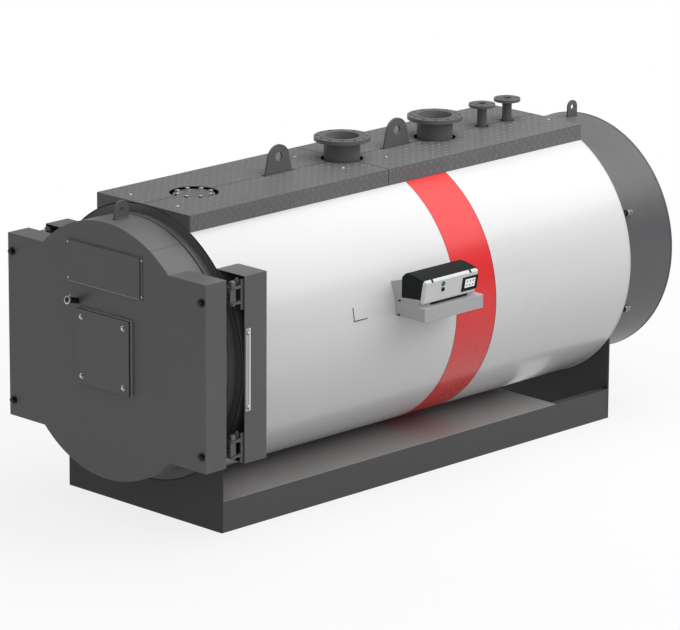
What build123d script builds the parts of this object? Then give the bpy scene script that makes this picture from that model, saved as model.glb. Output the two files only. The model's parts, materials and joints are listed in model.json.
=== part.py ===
from build123d import *
import os
from math import asin, cos, degrees, radians, sin, sqrt

os.makedirs("parts", exist_ok=True)

# Horizontal fire-tube hot-water boiler on a steel base frame, with a round
# front door that swings on two pins at its right-hand side.
# Millimetres. X is to the right seen from the front, Y runs to the rear and Z is up.
# The origin lies on the floor, under the middle cross member of the base.

# Clearances and the overrun of every cut
fit_gap = 0.3
pin_gap = 0.05
cut_overrun = 5

# Sides of every nut and bolt head, and a half turn in degrees
hex_sides = 6
half_turn = 180

# Base frame
base_length = 3340
base_inset = 168
rail_height = 187
rail_flange = 50
rail_thickness = 8
end_plate_thickness = 12
drain_bay_length = 478
floor_panel_thickness = 3
cross_member_width = 120
cross_member_height = 80
cross_member_wall = 6

# Pressure vessel
vessel_radius = 730
vessel_wall = 14
collar_width = 36
collar_projection = 48
tube_plate_thickness = 20
tube_plate_set_back = 26
rear_plate_gap = 15
tube_space = 316
furnace_wall = 14
furnace_end_space = 503
furnace_end_thickness = 16

# Smoke tubes, in two rings round the furnace
tube_radius = 41.5
tube_wall = 4
inner_tube_count = 18
outer_tube_count = 24
tube_ring_inset = 60

# Casing and insulation
insulation_thickness = 87
insulation_pieces = 8
insulation_joint_angle = 0.3
casing_sheet = 4
casing_rise = 7
casing_set_back = 15
band_start_share = 0.5323
band_width = 342
support_ring_thickness = 12

# Service deck on top
deck_rise = 2
deck_half_width = 391
deck_sheet = 5
deck_end_sheet = 6
deck_joint = 3
bearer_thickness = 8
bearer_inset = 6
bearer_place_shares = (0.045, 0.21, 0.4, 0.541, 0.677, 0.797, 0.962)

# Flow and return nozzles, DN200 PN16
main_flange_radius = 170
main_flange_thickness = 24
main_pipe_radius = 109.55
main_pipe_wall = 5.9
main_bolt_circle_radius = 147.5
main_bolt_hole_radius = 11
main_bolt_count = 12
main_rise = 137
flow_share = 0.48842
return_share = 0.73023
main_deck_hole_radius = 128

# Safety valve nozzles, DN50 PN16
small_flange_radius = 82.5
small_flange_thickness = 18
small_pipe_radius = 30.15
small_pipe_wall = 2.9
small_bolt_circle_radius = 62.5
small_bolt_hole_radius = 9
small_bolt_count = 4
safety_rise = 141
safety_shares = (0.85624, 0.92451)
small_deck_hole_radius = 43

# Inspection opening under the round deck cut-out
hatch_share = 0.1215
hatch_hole_radius = 145
hatch_flange_radius = 125
hatch_flange_thickness = 22
hatch_neck_radius = 69.85
hatch_neck_wall = 4
hatch_recess = 12
hatch_bolt_circle_radius = 105
hatch_bolt_count = 8
hatch_bolt_radius = 8
hatch_bolt_head_radius = 16
hatch_bolt_head_height = 14

# Lifting lugs on the vessel
lug_thickness = 15
lug_base_length = 216
lug_rise = 171.5
lug_round_radius = 87
lug_hole_radius = 27.5
lug_hole_rise = 99.5
lug_shares = (0.32752, 0.62827)
lug_slot_gap = 6
lug_slot_end_gap = 18

# Front door
door_rim_depth = 240
door_box_depth = 161
door_box_overlap = 1
door_side_gap = 5.3
door_plate = 8
door_box_sheet = 6
door_back_ring_width = 66
refractory_gap = 6
burner_throat_radius = 160
plug_clearance = 100
plug_projection = 90
seal_width = 14
seal_thickness = 12

# Burner opening plate on the door
burner_frame_half = 226
burner_frame_thickness = 8
burner_plate_half = 222
burner_plate_thickness = 12
burner_plate_corner = 6
burner_groove = 3
burner_bolt_offset = 177
burner_bolt_head_radius = 12
burner_bolt_head_height = 9

# Blank name panel on the door
panel_backing_width = 640
panel_backing_height = 262
panel_backing_thickness = 3
panel_face_width = 598
panel_face_height = 245
panel_face_thickness = 8
panel_centre_share = 0.64

# Sight tube on the door
sight_x = -230
sight_gap = 33
sight_radius = 17
sight_bore_radius = 10
sight_length = 88
sight_tilt = 13
sight_rim_radius = 23
sight_rim_length = 16

# Lugs on the door rim and on the smoke box
small_lug_thickness = 12
small_lug_hole_radius = 16
door_lug_inset = 129
door_lug_length = 107
door_lug_height = 107
box_lug_inset = 120
box_lug_length = 84
box_lug_height = 103

# Hinge columns and hinges
column_margin = 19
column_depth = 174
column_half_height = 552.5
column_sheet = 4
hinge_inset = 40
hinge_spread = 452
hinge_drop = 6
pin_radius = 12
pin_head_radius = 20
pin_head_height = 20
pin_tail = 10
fork_plate_thickness = 12
fork_spacing = 90
fork_plate_nose = 30
fork_side_thickness = 10
fork_side_height = 176
fork_side_front = 20
fork_side_gap = 6
fork_plate_back = 60
knuckle_radius = 22
knuckle_nose = 34
knuckle_end_gap = 1.5
stud_engagement = 15
stud_radius = 11
stud_hole_radius = 14
stud_head_radius = 18.5
stud_head_height = 16
stud_washer_radius = 27
stud_washer_thickness = 4
closing_strip_inset = 4
closing_strip_width = 37
closing_strip_length = 489
closing_strip_thickness = 5

# Control panel on the right-hand side
tray_start_share = 0.37684
tray_length = 496
tray_rise = 161
tray_height = 81
tray_reach = 231
tray_sheet = 4
bracket_rise = 142
bracket_slope = 22
bracket_sheet = 3
hood_stand_off = 39
hood_back_rise = 158
hood_ridge_run = 34
hood_ridge_rise = 189
hood_bulge = 5
hood_corner_radius = 26
hood_near_inset = 5
hood_far_inset = 37
plinth_back_rise = 34
plinth_front_rise = 46
fascia_run = 146
fascia_foot_rise = 20
fascia_height = 146
fascia_lean = 10.3
fascia_thickness = 20
fascia_corner = 16
fascia_bevel = 10

# Blank plate on the casing
rating_share = 0.27459
rating_rise = 149
rating_length = 106
rating_height = 80
rating_thickness = 2

# Smoke box
smoke_box_step = 22
smoke_box_length = 472
smoke_box_wall = 8
smoke_box_flange_width = 30
smoke_box_flange_thickness = 12
smoke_box_end_thickness = 12
flue_radius = 225
flue_wall = 5
flue_length = 100
flue_rise = 200
cleaning_width = 560
cleaning_height = 300
cleaning_drop = 375
cleaning_thickness = 14
cleaning_frame_width = 30
cleaning_frame_thickness = 8

# Clamps that hold the smoke box on: ears, studs and nuts
clamp_angle = 23
clamp_radius_gap = 33
clamp_stud_radius = 10
clamp_stud_length = 75
clamp_ear_width = 60
clamp_ear_edge = 22
clamp_nut_radius = 19
clamp_nut_height = 16

# Drain nozzle under the vessel
drain_share = 0.95398
drain_pipe_radius = 24.15
drain_wall = 2.6
drain_gap = 3
drain_flange_radius = 70
drain_flange_thickness = 16
drain_drop = 51
drain_bolt_circle_radius = 50
drain_bolt_hole_radius = 9
drain_bolt_count = 4

# Places worked out from the sizes above
casing_radius = vessel_radius + insulation_thickness + casing_sheet
casing_inner_radius = casing_radius - casing_sheet
casing_length = base_length - casing_set_back
shell_height = rail_height + casing_rise + casing_radius
collar_radius = vessel_radius + collar_width
furnace_radius = vessel_radius - tube_space
plug_radius = furnace_radius - furnace_wall - plug_clearance
front_y = -base_length / 2
rear_y = front_y + base_length
casing_rear_y = front_y + casing_length
base_half_width = casing_radius - base_inset
hatch_bolt_start = half_turn / hatch_bolt_count
drain_bolt_start = half_turn / drain_bolt_count
cradle_top = shell_height - sqrt(casing_radius**2 - base_half_width**2)
collar_front_y = front_y - collar_projection
door_back_y = collar_front_y - seal_thickness
door_front_y = door_back_y - door_rim_depth
hinge_y = door_back_y
column_half_width = casing_radius + column_margin
column_bottom = shell_height - column_half_height
hinge_x = column_half_width - hinge_inset
hinge_depth = front_y - hinge_y
hinge_heights = (shell_height - hinge_drop - hinge_spread, shell_height - hinge_drop + hinge_spread)
door_half_width = column_half_width - door_side_gap
deck_top = shell_height + casing_radius + deck_rise
vessel_top = shell_height + vessel_radius
deck_under = deck_top - deck_sheet
deck_foot = shell_height + sqrt(casing_radius**2 - deck_half_width**2)
opening_half_angle = degrees(asin(deck_half_width / casing_radius))
smoke_box_radius = vessel_radius + smoke_box_step
smoke_box_rear_y = casing_rear_y + smoke_box_length


def along(share):
    """Place along the casing at this share of its length, from the front."""
    return front_y + share * casing_length


def across(y):
    """Plane square to the boiler's length at y, with its X to the right and its Y up."""
    return Plane.XZ.offset(-y)


def level(z):
    """Level plane at height z."""
    return Plane.XY.offset(z)


def upright(x):
    """Plane along the boiler's length at x, with its X to the rear and its Y up."""
    return Plane.YZ.offset(x)


# Base frame: two channel rails, two end plates with a round seat, a cross member and a floor panel
rail_start_y = front_y + end_plate_thickness
rail_length = base_length - 2 * end_plate_thickness

with BuildPart() as base_rails:
    with BuildSketch(across(rail_start_y)):
        for side in (-1, 1):
            with Locations((side * (base_half_width - rail_flange / 2), rail_height / 2)):
                Rectangle(rail_flange, rail_height)
            with Locations((side * (base_half_width - rail_thickness - rail_flange / 2), rail_height / 2)):
                Rectangle(rail_flange, rail_height - 2 * rail_thickness, mode=Mode.SUBTRACT)
    extrude(amount=-rail_length)
base_rails.part.label = "base_rails"
export_step(base_rails.part, "parts/base_rails.step")

with BuildPart() as base_end_plates:
    for plate_y, plate_top in ((front_y, column_bottom), (rear_y - end_plate_thickness, cradle_top)):
        with BuildSketch(across(plate_y)):
            with Locations((0, plate_top / 2)):
                Rectangle(2 * base_half_width, plate_top)
            with Locations((0, shell_height)):
                Circle(casing_radius + fit_gap, mode=Mode.SUBTRACT)
        extrude(amount=-end_plate_thickness)
base_end_plates.part.label = "base_end_plates"
export_step(base_end_plates.part, "parts/base_end_plates.step")

cross_half_width = base_half_width - rail_thickness
rail_centre_x = base_half_width - rail_flange / 2
with BuildPart() as base_cross_member:
    with BuildSketch(upright(-cross_half_width)):
        with Locations((0, cross_member_height / 2)):
            Rectangle(cross_member_width, cross_member_height)
            Rectangle(
                cross_member_width - 2 * cross_member_wall,
                cross_member_height - 2 * cross_member_wall,
                mode=Mode.SUBTRACT,
            )
    extrude(amount=2 * cross_half_width)
    for side in (-1, 1):
        with BuildSketch(across(-cross_member_width)):
            with Locations((side * rail_centre_x, rail_thickness / 2)):
                Rectangle(rail_flange, rail_thickness)
        extrude(amount=-2 * cross_member_width, mode=Mode.SUBTRACT)
base_cross_member.part.label = "base_cross_member"
export_step(base_cross_member.part, "parts/base_cross_member.step")

floor_panel_length = rail_length - drain_bay_length
with BuildPart() as base_floor_panel:
    with BuildSketch(level(rail_height)):
        with Locations((0, rail_start_y + floor_panel_length / 2)):
            Rectangle(2 * base_half_width, floor_panel_length)
    extrude(amount=floor_panel_thickness)
base_floor_panel.part.label = "base_floor_panel"
export_step(base_floor_panel.part, "parts/base_floor_panel.step")

# Casing: three bands of sheet round the insulation, open along the top where the deck sits
band_y = along(band_start_share)
casing_bands = (
    ("casing_front", front_y, band_y - front_y),
    ("casing_band", band_y, band_width),
    ("casing_rear", band_y + band_width, casing_rear_y - band_y - band_width),
)
drain_y = along(drain_share)
for band_name, sheet_y, sheet_length in casing_bands:
    with BuildPart() as casing:
        with BuildSketch(across(sheet_y)):
            with Locations((0, shell_height)):
                Circle(casing_radius)
                Circle(casing_inner_radius, mode=Mode.SUBTRACT)
            with Locations((0, shell_height + casing_radius)):
                Rectangle(2 * deck_half_width, 2 * casing_radius, mode=Mode.SUBTRACT)
        extrude(amount=-sheet_length)
        with BuildSketch(level(0)):
            with Locations((0, drain_y)):
                Circle(drain_pipe_radius + drain_gap)
        extrude(amount=shell_height, mode=Mode.SUBTRACT)
    casing.part.label = band_name
    export_step(casing.part, f"parts/{band_name}.step")

insulation_start_y = front_y + support_ring_thickness
insulation_length = casing_length - 2 * support_ring_thickness
insulation_span = (360 - 2 * opening_half_angle) / insulation_pieces
with BuildPart() as insulation:
    for piece in range(insulation_pieces):
        first = 90 + opening_half_angle + piece * insulation_span + insulation_joint_angle
        last = first + insulation_span - 2 * insulation_joint_angle
        with BuildSketch(across(insulation_start_y)):
            with BuildLine():
                outer = casing_inner_radius - fit_gap
                inner = vessel_radius + fit_gap
                outer_arc = CenterArc((0, shell_height), outer, first, last - first)
                inner_arc = CenterArc((0, shell_height), inner, first, last - first)
                Line(outer_arc @ 0, inner_arc @ 0)
                Line(outer_arc @ 1, inner_arc @ 1)
            make_face()
        extrude(amount=-insulation_length)
    with BuildSketch(level(0)):
        with Locations((0, drain_y)):
            Circle(drain_pipe_radius + drain_gap)
    extrude(amount=shell_height, mode=Mode.SUBTRACT)
insulation.part.label = "insulation"
export_step(insulation.part, "parts/insulation.step")

with BuildPart() as support_rings:
    for ring_y in (front_y, casing_rear_y - support_ring_thickness):
        with BuildSketch(across(ring_y)):
            with Locations((0, shell_height)):
                Circle(casing_inner_radius - fit_gap)
                Circle(vessel_radius + fit_gap, mode=Mode.SUBTRACT)
            with Locations((0, deck_under + casing_radius / 2)):
                Rectangle(2 * deck_half_width, casing_radius, mode=Mode.SUBTRACT)
        extrude(amount=-support_ring_thickness)
support_rings.part.label = "support_rings"
export_step(support_rings.part, "parts/support_rings.step")

# Pressure vessel with holes for the nozzles along its top and the drain below
hatch_y = along(hatch_share)
flow_y = along(flow_share)
return_y = along(return_share)
safety_y = [along(share) for share in safety_shares]
nozzle_holes = (
    (hatch_y, hatch_neck_radius - hatch_neck_wall),
    (flow_y, main_pipe_radius - main_pipe_wall),
    (return_y, main_pipe_radius - main_pipe_wall),
    (safety_y[0], small_pipe_radius - small_pipe_wall),
    (safety_y[1], small_pipe_radius - small_pipe_wall),
)
vessel_length = collar_projection + casing_length
with BuildPart() as pressure_vessel:
    with BuildSketch(across(collar_front_y)):
        with Locations((0, shell_height)):
            Circle(vessel_radius)
            Circle(vessel_radius - vessel_wall, mode=Mode.SUBTRACT)
    extrude(amount=-vessel_length)
    for hole_y, radius in nozzle_holes:
        with BuildSketch(level(shell_height)):
            with Locations((0, hole_y)):
                Circle(radius)
        extrude(amount=vessel_radius + cut_overrun, mode=Mode.SUBTRACT)
    with BuildSketch(level(shell_height)):
        with Locations((0, drain_y)):
            Circle(drain_pipe_radius - drain_wall)
    extrude(amount=-vessel_radius - cut_overrun, mode=Mode.SUBTRACT)
pressure_vessel.part.label = "pressure_vessel"
export_step(pressure_vessel.part, "parts/pressure_vessel.step")

with BuildPart() as front_collar:
    with BuildSketch(across(collar_front_y)):
        with Locations((0, shell_height)):
            Circle(collar_radius)
            Circle(vessel_radius + fit_gap, mode=Mode.SUBTRACT)
    extrude(amount=-collar_projection)
front_collar.part.label = "front_collar"
export_step(front_collar.part, "parts/front_collar.step")

tube_plate_radius = vessel_radius - vessel_wall - fit_gap
tube_plate_y = collar_front_y + tube_plate_set_back
rear_plate_y = casing_rear_y - rear_plate_gap - tube_plate_thickness
tube_rings = (
    (furnace_radius + tube_ring_inset + tube_radius, inner_tube_count),
    (tube_plate_radius - tube_ring_inset - tube_radius, outer_tube_count),
)


with BuildPart() as front_tube_plate:
    with BuildSketch(across(tube_plate_y)):
        with Locations((0, shell_height)):
            Circle(tube_plate_radius)
            Circle(furnace_radius + fit_gap, mode=Mode.SUBTRACT)
            for ring_radius, tube_count in tube_rings:
                with PolarLocations(ring_radius, tube_count):
                    Circle(tube_radius + pin_gap, mode=Mode.SUBTRACT)
    extrude(amount=-tube_plate_thickness)
front_tube_plate.part.label = "front_tube_plate"
export_step(front_tube_plate.part, "parts/front_tube_plate.step")

with BuildPart() as rear_tube_plate:
    with BuildSketch(across(rear_plate_y)):
        with Locations((0, shell_height)):
            Circle(tube_plate_radius)
            for ring_radius, tube_count in tube_rings:
                with PolarLocations(ring_radius, tube_count):
                    Circle(tube_radius + pin_gap, mode=Mode.SUBTRACT)
    extrude(amount=-tube_plate_thickness)
rear_tube_plate.part.label = "rear_tube_plate"
export_step(rear_tube_plate.part, "parts/rear_tube_plate.step")

with BuildPart() as smoke_tubes:
    with BuildSketch(across(tube_plate_y)):
        with Locations((0, shell_height)):
            for ring_radius, tube_count in tube_rings:
                with PolarLocations(ring_radius, tube_count):
                    Circle(tube_radius)
                    Circle(tube_radius - tube_wall, mode=Mode.SUBTRACT)
    extrude(amount=tube_plate_y - rear_plate_y - tube_plate_thickness)
smoke_tubes.part.label = "smoke_tubes"
export_step(smoke_tubes.part, "parts/smoke_tubes.step")

furnace_end_y = casing_rear_y - furnace_end_space
with BuildPart() as furnace_tube:
    with BuildSketch(across(tube_plate_y)):
        with Locations((0, shell_height)):
            Circle(furnace_radius)
            Circle(furnace_radius - furnace_wall, mode=Mode.SUBTRACT)
    extrude(amount=tube_plate_y - furnace_end_y)
furnace_tube.part.label = "furnace_tube"
export_step(furnace_tube.part, "parts/furnace_tube.step")

with BuildPart() as furnace_end:
    with BuildSketch(across(furnace_end_y)):
        with Locations((0, shell_height)):
            Circle(furnace_radius)
    extrude(amount=-furnace_end_thickness)
furnace_end.part.label = "furnace_end"
export_step(furnace_end.part, "parts/furnace_end.step")

# Service deck: four panels with skirts, end plates and upright bearers
deck_split = flow_y - front_y
lug_ys = [along(share) for share in lug_shares]
deck_panels = (
    ("deck_front_left", -1, deck_end_sheet, deck_split - deck_joint / 2),
    ("deck_front_right", 1, deck_end_sheet, deck_split - deck_joint / 2),
    ("deck_rear_left", -1, deck_split + deck_joint / 2, casing_length - deck_end_sheet),
    ("deck_rear_right", 1, deck_split + deck_joint / 2, casing_length - deck_end_sheet),
)
deck_round_holes = (
    (hatch_y, hatch_hole_radius),
    (flow_y, main_deck_hole_radius),
    (return_y, main_deck_hole_radius),
    (safety_y[0], small_deck_hole_radius),
    (safety_y[1], small_deck_hole_radius),
)
deck_panel_width = deck_half_width - deck_joint / 2
skirt_height = deck_under - deck_foot
for panel_name, side, panel_start, panel_end in deck_panels:
    panel_length = panel_end - panel_start
    with BuildPart() as deck_panel:
        with BuildSketch(across(front_y + panel_start)):
            with Locations((side * (deck_half_width - deck_panel_width / 2), deck_top - deck_sheet / 2)):
                Rectangle(deck_panel_width, deck_sheet)
            with Locations((side * (deck_half_width - deck_sheet / 2), deck_under - skirt_height / 2)):
                Rectangle(deck_sheet, skirt_height)
        extrude(amount=-panel_length)
        with BuildSketch(level(deck_under)):
            for hole_y, radius in deck_round_holes:
                with Locations((0, hole_y)):
                    Circle(radius)
            for lug_y in lug_ys:
                with Locations((0, lug_y)):
                    Rectangle(lug_thickness + 2 * lug_slot_gap, lug_base_length + 2 * lug_slot_end_gap)
        extrude(amount=deck_sheet, mode=Mode.SUBTRACT)
    deck_panel.part.label = panel_name
    export_step(deck_panel.part, f"parts/{panel_name}.step")

with BuildPart() as deck_end_plates:
    for end_y in (front_y, casing_rear_y - deck_end_sheet):
        with BuildSketch(across(end_y)):
            with Locations((0, (deck_top + deck_foot) / 2)):
                Rectangle(2 * deck_half_width, deck_top - deck_foot)
            with Locations((0, shell_height)):
                Circle(casing_radius + fit_gap, mode=Mode.SUBTRACT)
        extrude(amount=-deck_end_sheet)
deck_end_plates.part.label = "deck_end_plates"
export_step(deck_end_plates.part, "parts/deck_end_plates.step")

bearer_half_width = deck_half_width * vessel_radius / casing_radius - bearer_inset
with BuildPart() as deck_bearers:
    for share in bearer_place_shares:
        with BuildSketch(across(along(share))):
            with Locations((0, (shell_height + deck_under) / 2)):
                Rectangle(2 * bearer_half_width, deck_under - shell_height)
            with Locations((0, shell_height)):
                Circle(vessel_radius + fit_gap, mode=Mode.SUBTRACT)
        extrude(amount=-bearer_thickness)
deck_bearers.part.label = "deck_bearers"
export_step(deck_bearers.part, "parts/deck_bearers.step")


def nozzles(stub_ys, top, flange, pipe, wall, thickness, circle, hole, count):
    """Flanged pipe stubs that stand on the vessel's top."""
    with BuildPart() as stubs:
        for stub_y in stub_ys:
            with BuildSketch(level(shell_height)):
                with Locations((0, stub_y)):
                    Circle(pipe)
            extrude(amount=top - shell_height)
            with BuildSketch(level(top - thickness)):
                with Locations((0, stub_y)):
                    Circle(flange)
            extrude(amount=thickness)
            with BuildSketch(across(stub_y - pipe - cut_overrun)):
                with Locations((0, shell_height)):
                    Circle(vessel_radius + fit_gap)
            extrude(amount=-2 * (pipe + cut_overrun), mode=Mode.SUBTRACT)
            with BuildSketch(level(top)):
                with Locations((0, stub_y)):
                    Circle(pipe - wall)
            extrude(amount=shell_height - top, mode=Mode.SUBTRACT)
            with BuildSketch(level(top)):
                with Locations((0, stub_y)):
                    with PolarLocations(circle, count, start_angle=half_turn / count):
                        Circle(hole)
            extrude(amount=-thickness, mode=Mode.SUBTRACT)
    return stubs


nozzle_top = deck_top + main_rise
safety_top = deck_top + safety_rise
main_nozzles = (("flow_nozzle", flow_y), ("return_nozzle", return_y))
for nozzle_name, nozzle_y in main_nozzles:
    main_nozzle = nozzles(
        (nozzle_y,),
        nozzle_top,
        main_flange_radius,
        main_pipe_radius,
        main_pipe_wall,
        main_flange_thickness,
        main_bolt_circle_radius,
        main_bolt_hole_radius,
        main_bolt_count,
    )
    main_nozzle.part.label = nozzle_name
    export_step(main_nozzle.part, f"parts/{nozzle_name}.step")

safety_nozzles = nozzles(
    safety_y,
    safety_top,
    small_flange_radius,
    small_pipe_radius,
    small_pipe_wall,
    small_flange_thickness,
    small_bolt_circle_radius,
    small_bolt_hole_radius,
    small_bolt_count,
)
safety_nozzles.part.label = "safety_nozzles"
export_step(safety_nozzles.part, "parts/safety_nozzles.step")

# Inspection opening: a short neck, its blind cover and the cover's bolts
hatch_top = deck_top - hatch_recess
hatch_joint = hatch_top - hatch_flange_thickness
with BuildPart() as inspection_neck:
    with BuildSketch(level(shell_height)):
        with Locations((0, hatch_y)):
            Circle(hatch_neck_radius)
    extrude(amount=hatch_joint - shell_height)
    with BuildSketch(level(hatch_joint - hatch_flange_thickness)):
        with Locations((0, hatch_y)):
            Circle(hatch_flange_radius)
    extrude(amount=hatch_flange_thickness)
    with BuildSketch(across(hatch_y - hatch_flange_radius - cut_overrun)):
        with Locations((0, shell_height)):
            Circle(vessel_radius + fit_gap)
    extrude(amount=-2 * (hatch_flange_radius + cut_overrun), mode=Mode.SUBTRACT)
    with BuildSketch(level(shell_height)):
        with Locations((0, hatch_y)):
            Circle(hatch_neck_radius - hatch_neck_wall)
    extrude(amount=hatch_joint - shell_height, mode=Mode.SUBTRACT)
inspection_neck.part.label = "inspection_neck"
export_step(inspection_neck.part, "parts/inspection_neck.step")

with BuildPart() as inspection_cover:
    with BuildSketch(level(hatch_joint)):
        with Locations((0, hatch_y)):
            Circle(hatch_flange_radius)
            with PolarLocations(hatch_bolt_circle_radius, hatch_bolt_count, hatch_bolt_start):
                Circle(hatch_bolt_radius + fit_gap, mode=Mode.SUBTRACT)
    extrude(amount=hatch_flange_thickness)
inspection_cover.part.label = "inspection_cover"
export_step(inspection_cover.part, "parts/inspection_cover.step")

with BuildPart() as inspection_bolts:
    with BuildSketch(level(hatch_joint)):
        with Locations((0, hatch_y)):
            with PolarLocations(hatch_bolt_circle_radius, hatch_bolt_count, hatch_bolt_start):
                Circle(hatch_bolt_radius)
    extrude(amount=hatch_flange_thickness)
    with BuildSketch(level(hatch_top)):
        with Locations((0, hatch_y)):
            with PolarLocations(hatch_bolt_circle_radius, hatch_bolt_count, hatch_bolt_start):
                RegularPolygon(hatch_bolt_head_radius, hex_sides)
    extrude(amount=hatch_bolt_head_height)
inspection_bolts.part.label = "inspection_bolts"
export_step(inspection_bolts.part, "parts/inspection_bolts.step")

# Lifting lugs: tapered plates welded along the vessel's top
lug_round_height = deck_top + lug_rise - lug_round_radius
lug_hole_height = deck_top + lug_hole_rise
with BuildPart() as lifting_lugs:
    for lug_y in lug_ys:
        with BuildSketch(upright(-lug_thickness / 2)):
            with Locations((lug_y, lug_round_height)):
                Circle(lug_round_radius)
            with Locations((lug_y, (vessel_top + fit_gap + deck_top) / 2)):
                Rectangle(lug_base_length, deck_top - vessel_top - fit_gap)
            make_hull()
            with Locations((lug_y, lug_hole_height)):
                Circle(lug_hole_radius, mode=Mode.SUBTRACT)
        extrude(amount=lug_thickness)
lifting_lugs.part.label = "lifting_lugs"
export_step(lifting_lugs.part, "parts/lifting_lugs.step")

# Smoke box on the rear, with its end plate, flue spigot, cleaning cover, lug and clamp bolts
smoke_shell_length = smoke_box_length - smoke_box_end_thickness
flue_centre_height = shell_height + flue_rise
cleaning_centre_height = shell_height - cleaning_drop
clamp_radius = smoke_box_radius + clamp_radius_gap
clamp_turns = (clamp_angle, half_turn - clamp_angle, half_turn + clamp_angle, 2 * half_turn - clamp_angle)
with BuildPart() as smoke_box_shell:
    with BuildSketch(across(casing_rear_y)):
        for turn in clamp_turns:
            with Locations(Pos(0, shell_height) * Rot(0, 0, turn) * Pos(clamp_radius + clamp_ear_edge, 0)):
                Rectangle(
                    2 * (clamp_radius_gap + clamp_ear_edge),
                    clamp_ear_width,
                    align=(Align.MAX, Align.CENTER),
                )
        with Locations((0, shell_height)):
            Circle(smoke_box_radius)
            Circle(smoke_box_radius - smoke_box_flange_width, mode=Mode.SUBTRACT)
        for turn in clamp_turns:
            with Locations(Pos(0, shell_height) * Rot(0, 0, turn) * Pos(clamp_radius, 0)):
                Circle(clamp_stud_radius + fit_gap, mode=Mode.SUBTRACT)
    extrude(amount=-smoke_box_flange_thickness)
    with BuildSketch(across(casing_rear_y)):
        with Locations((0, shell_height)):
            Circle(smoke_box_radius)
            Circle(smoke_box_radius - smoke_box_wall, mode=Mode.SUBTRACT)
    extrude(amount=-smoke_shell_length)
smoke_box_shell.part.label = "smoke_box_shell"
export_step(smoke_box_shell.part, "parts/smoke_box_shell.step")

with BuildPart() as smoke_box_end:
    with BuildSketch(across(smoke_box_rear_y - smoke_box_end_thickness)):
        with Locations((0, shell_height)):
            Circle(smoke_box_radius)
        with Locations((0, flue_centre_height)):
            Circle(flue_radius, mode=Mode.SUBTRACT)
    extrude(amount=-smoke_box_end_thickness)
smoke_box_end.part.label = "smoke_box_end"
export_step(smoke_box_end.part, "parts/smoke_box_end.step")

with BuildPart() as flue_spigot:
    with BuildSketch(across(smoke_box_rear_y)):
        with Locations((0, flue_centre_height)):
            Circle(flue_radius + flue_wall)
            Circle(flue_radius, mode=Mode.SUBTRACT)
    extrude(amount=-flue_length)
flue_spigot.part.label = "flue_spigot"
export_step(flue_spigot.part, "parts/flue_spigot.step")

with BuildPart() as cleaning_cover:
    with BuildSketch(across(smoke_box_rear_y)):
        with Locations((0, cleaning_centre_height)):
            Rectangle(cleaning_width, cleaning_height)
    extrude(amount=-cleaning_frame_thickness)
    with BuildSketch(across(smoke_box_rear_y)):
        with Locations((0, cleaning_centre_height)):
            Rectangle(
                cleaning_width - 2 * cleaning_frame_width,
                cleaning_height - 2 * cleaning_frame_width,
            )
    extrude(amount=-cleaning_thickness)
cleaning_cover.part.label = "cleaning_cover"
export_step(cleaning_cover.part, "parts/cleaning_cover.step")

nut_y = casing_rear_y + smoke_box_flange_thickness
with BuildPart() as smoke_box_clamps:
    for turn in clamp_turns:
        clamp_x = clamp_radius * cos(radians(turn))
        clamp_z = shell_height + clamp_radius * sin(radians(turn))
        with BuildSketch(across(casing_rear_y)):
            with Locations((clamp_x, clamp_z)):
                Circle(clamp_stud_radius)
        extrude(amount=-clamp_stud_length)
        with BuildSketch(across(nut_y)):
            with Locations((clamp_x, clamp_z)):
                RegularPolygon(clamp_nut_radius, hex_sides)
        extrude(amount=-clamp_nut_height)
smoke_box_clamps.part.label = "smoke_box_clamps"
export_step(smoke_box_clamps.part, "parts/smoke_box_clamps.step")


def small_lug(lug_y, length, height, seat_radius):
    """Small upright lug that stands on a round rim at the top, on the centre line."""
    foot = shell_height + seat_radius + fit_gap
    hole_height = foot + height - length / 2
    with BuildPart() as lug:
        with BuildSketch(upright(-small_lug_thickness / 2)):
            with Locations((lug_y, hole_height)):
                Circle(length / 2)
            with Locations((lug_y, (foot + hole_height) / 2)):
                Rectangle(length, hole_height - foot)
            with Locations((lug_y, hole_height)):
                Circle(small_lug_hole_radius, mode=Mode.SUBTRACT)
        extrude(amount=small_lug_thickness)
    return lug


box_lug_y = smoke_box_rear_y - box_lug_inset
smoke_box_lug = small_lug(box_lug_y, box_lug_length, box_lug_height, smoke_box_radius)
smoke_box_lug.part.label = "smoke_box_lug"
export_step(smoke_box_lug.part, "parts/smoke_box_lug.step")

# Drain nozzle below the rear of the vessel
drain_face = shell_height - casing_radius - drain_drop
with BuildPart() as drain_nozzle:
    with BuildSketch(level(drain_face)):
        with Locations((0, drain_y)):
            Circle(drain_pipe_radius)
    extrude(amount=shell_height - drain_face)
    with BuildSketch(level(drain_face)):
        with Locations((0, drain_y)):
            Circle(drain_flange_radius)
    extrude(amount=drain_flange_thickness)
    with BuildSketch(across(drain_y - drain_flange_radius)):
        with Locations((0, shell_height)):
            Circle(vessel_radius + fit_gap)
    extrude(amount=-2 * drain_flange_radius, mode=Mode.SUBTRACT)
    with BuildSketch(level(drain_face)):
        with Locations((0, drain_y)):
            Circle(drain_pipe_radius - drain_wall)
    extrude(amount=shell_height - drain_face, mode=Mode.SUBTRACT)
    with BuildSketch(level(drain_face)):
        with Locations((0, drain_y)):
            with PolarLocations(drain_bolt_circle_radius, drain_bolt_count, drain_bolt_start):
                Circle(drain_bolt_hole_radius)
    extrude(amount=drain_flange_thickness, mode=Mode.SUBTRACT)
drain_nozzle.part.label = "drain_nozzle"
export_step(drain_nozzle.part, "parts/drain_nozzle.step")

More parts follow.
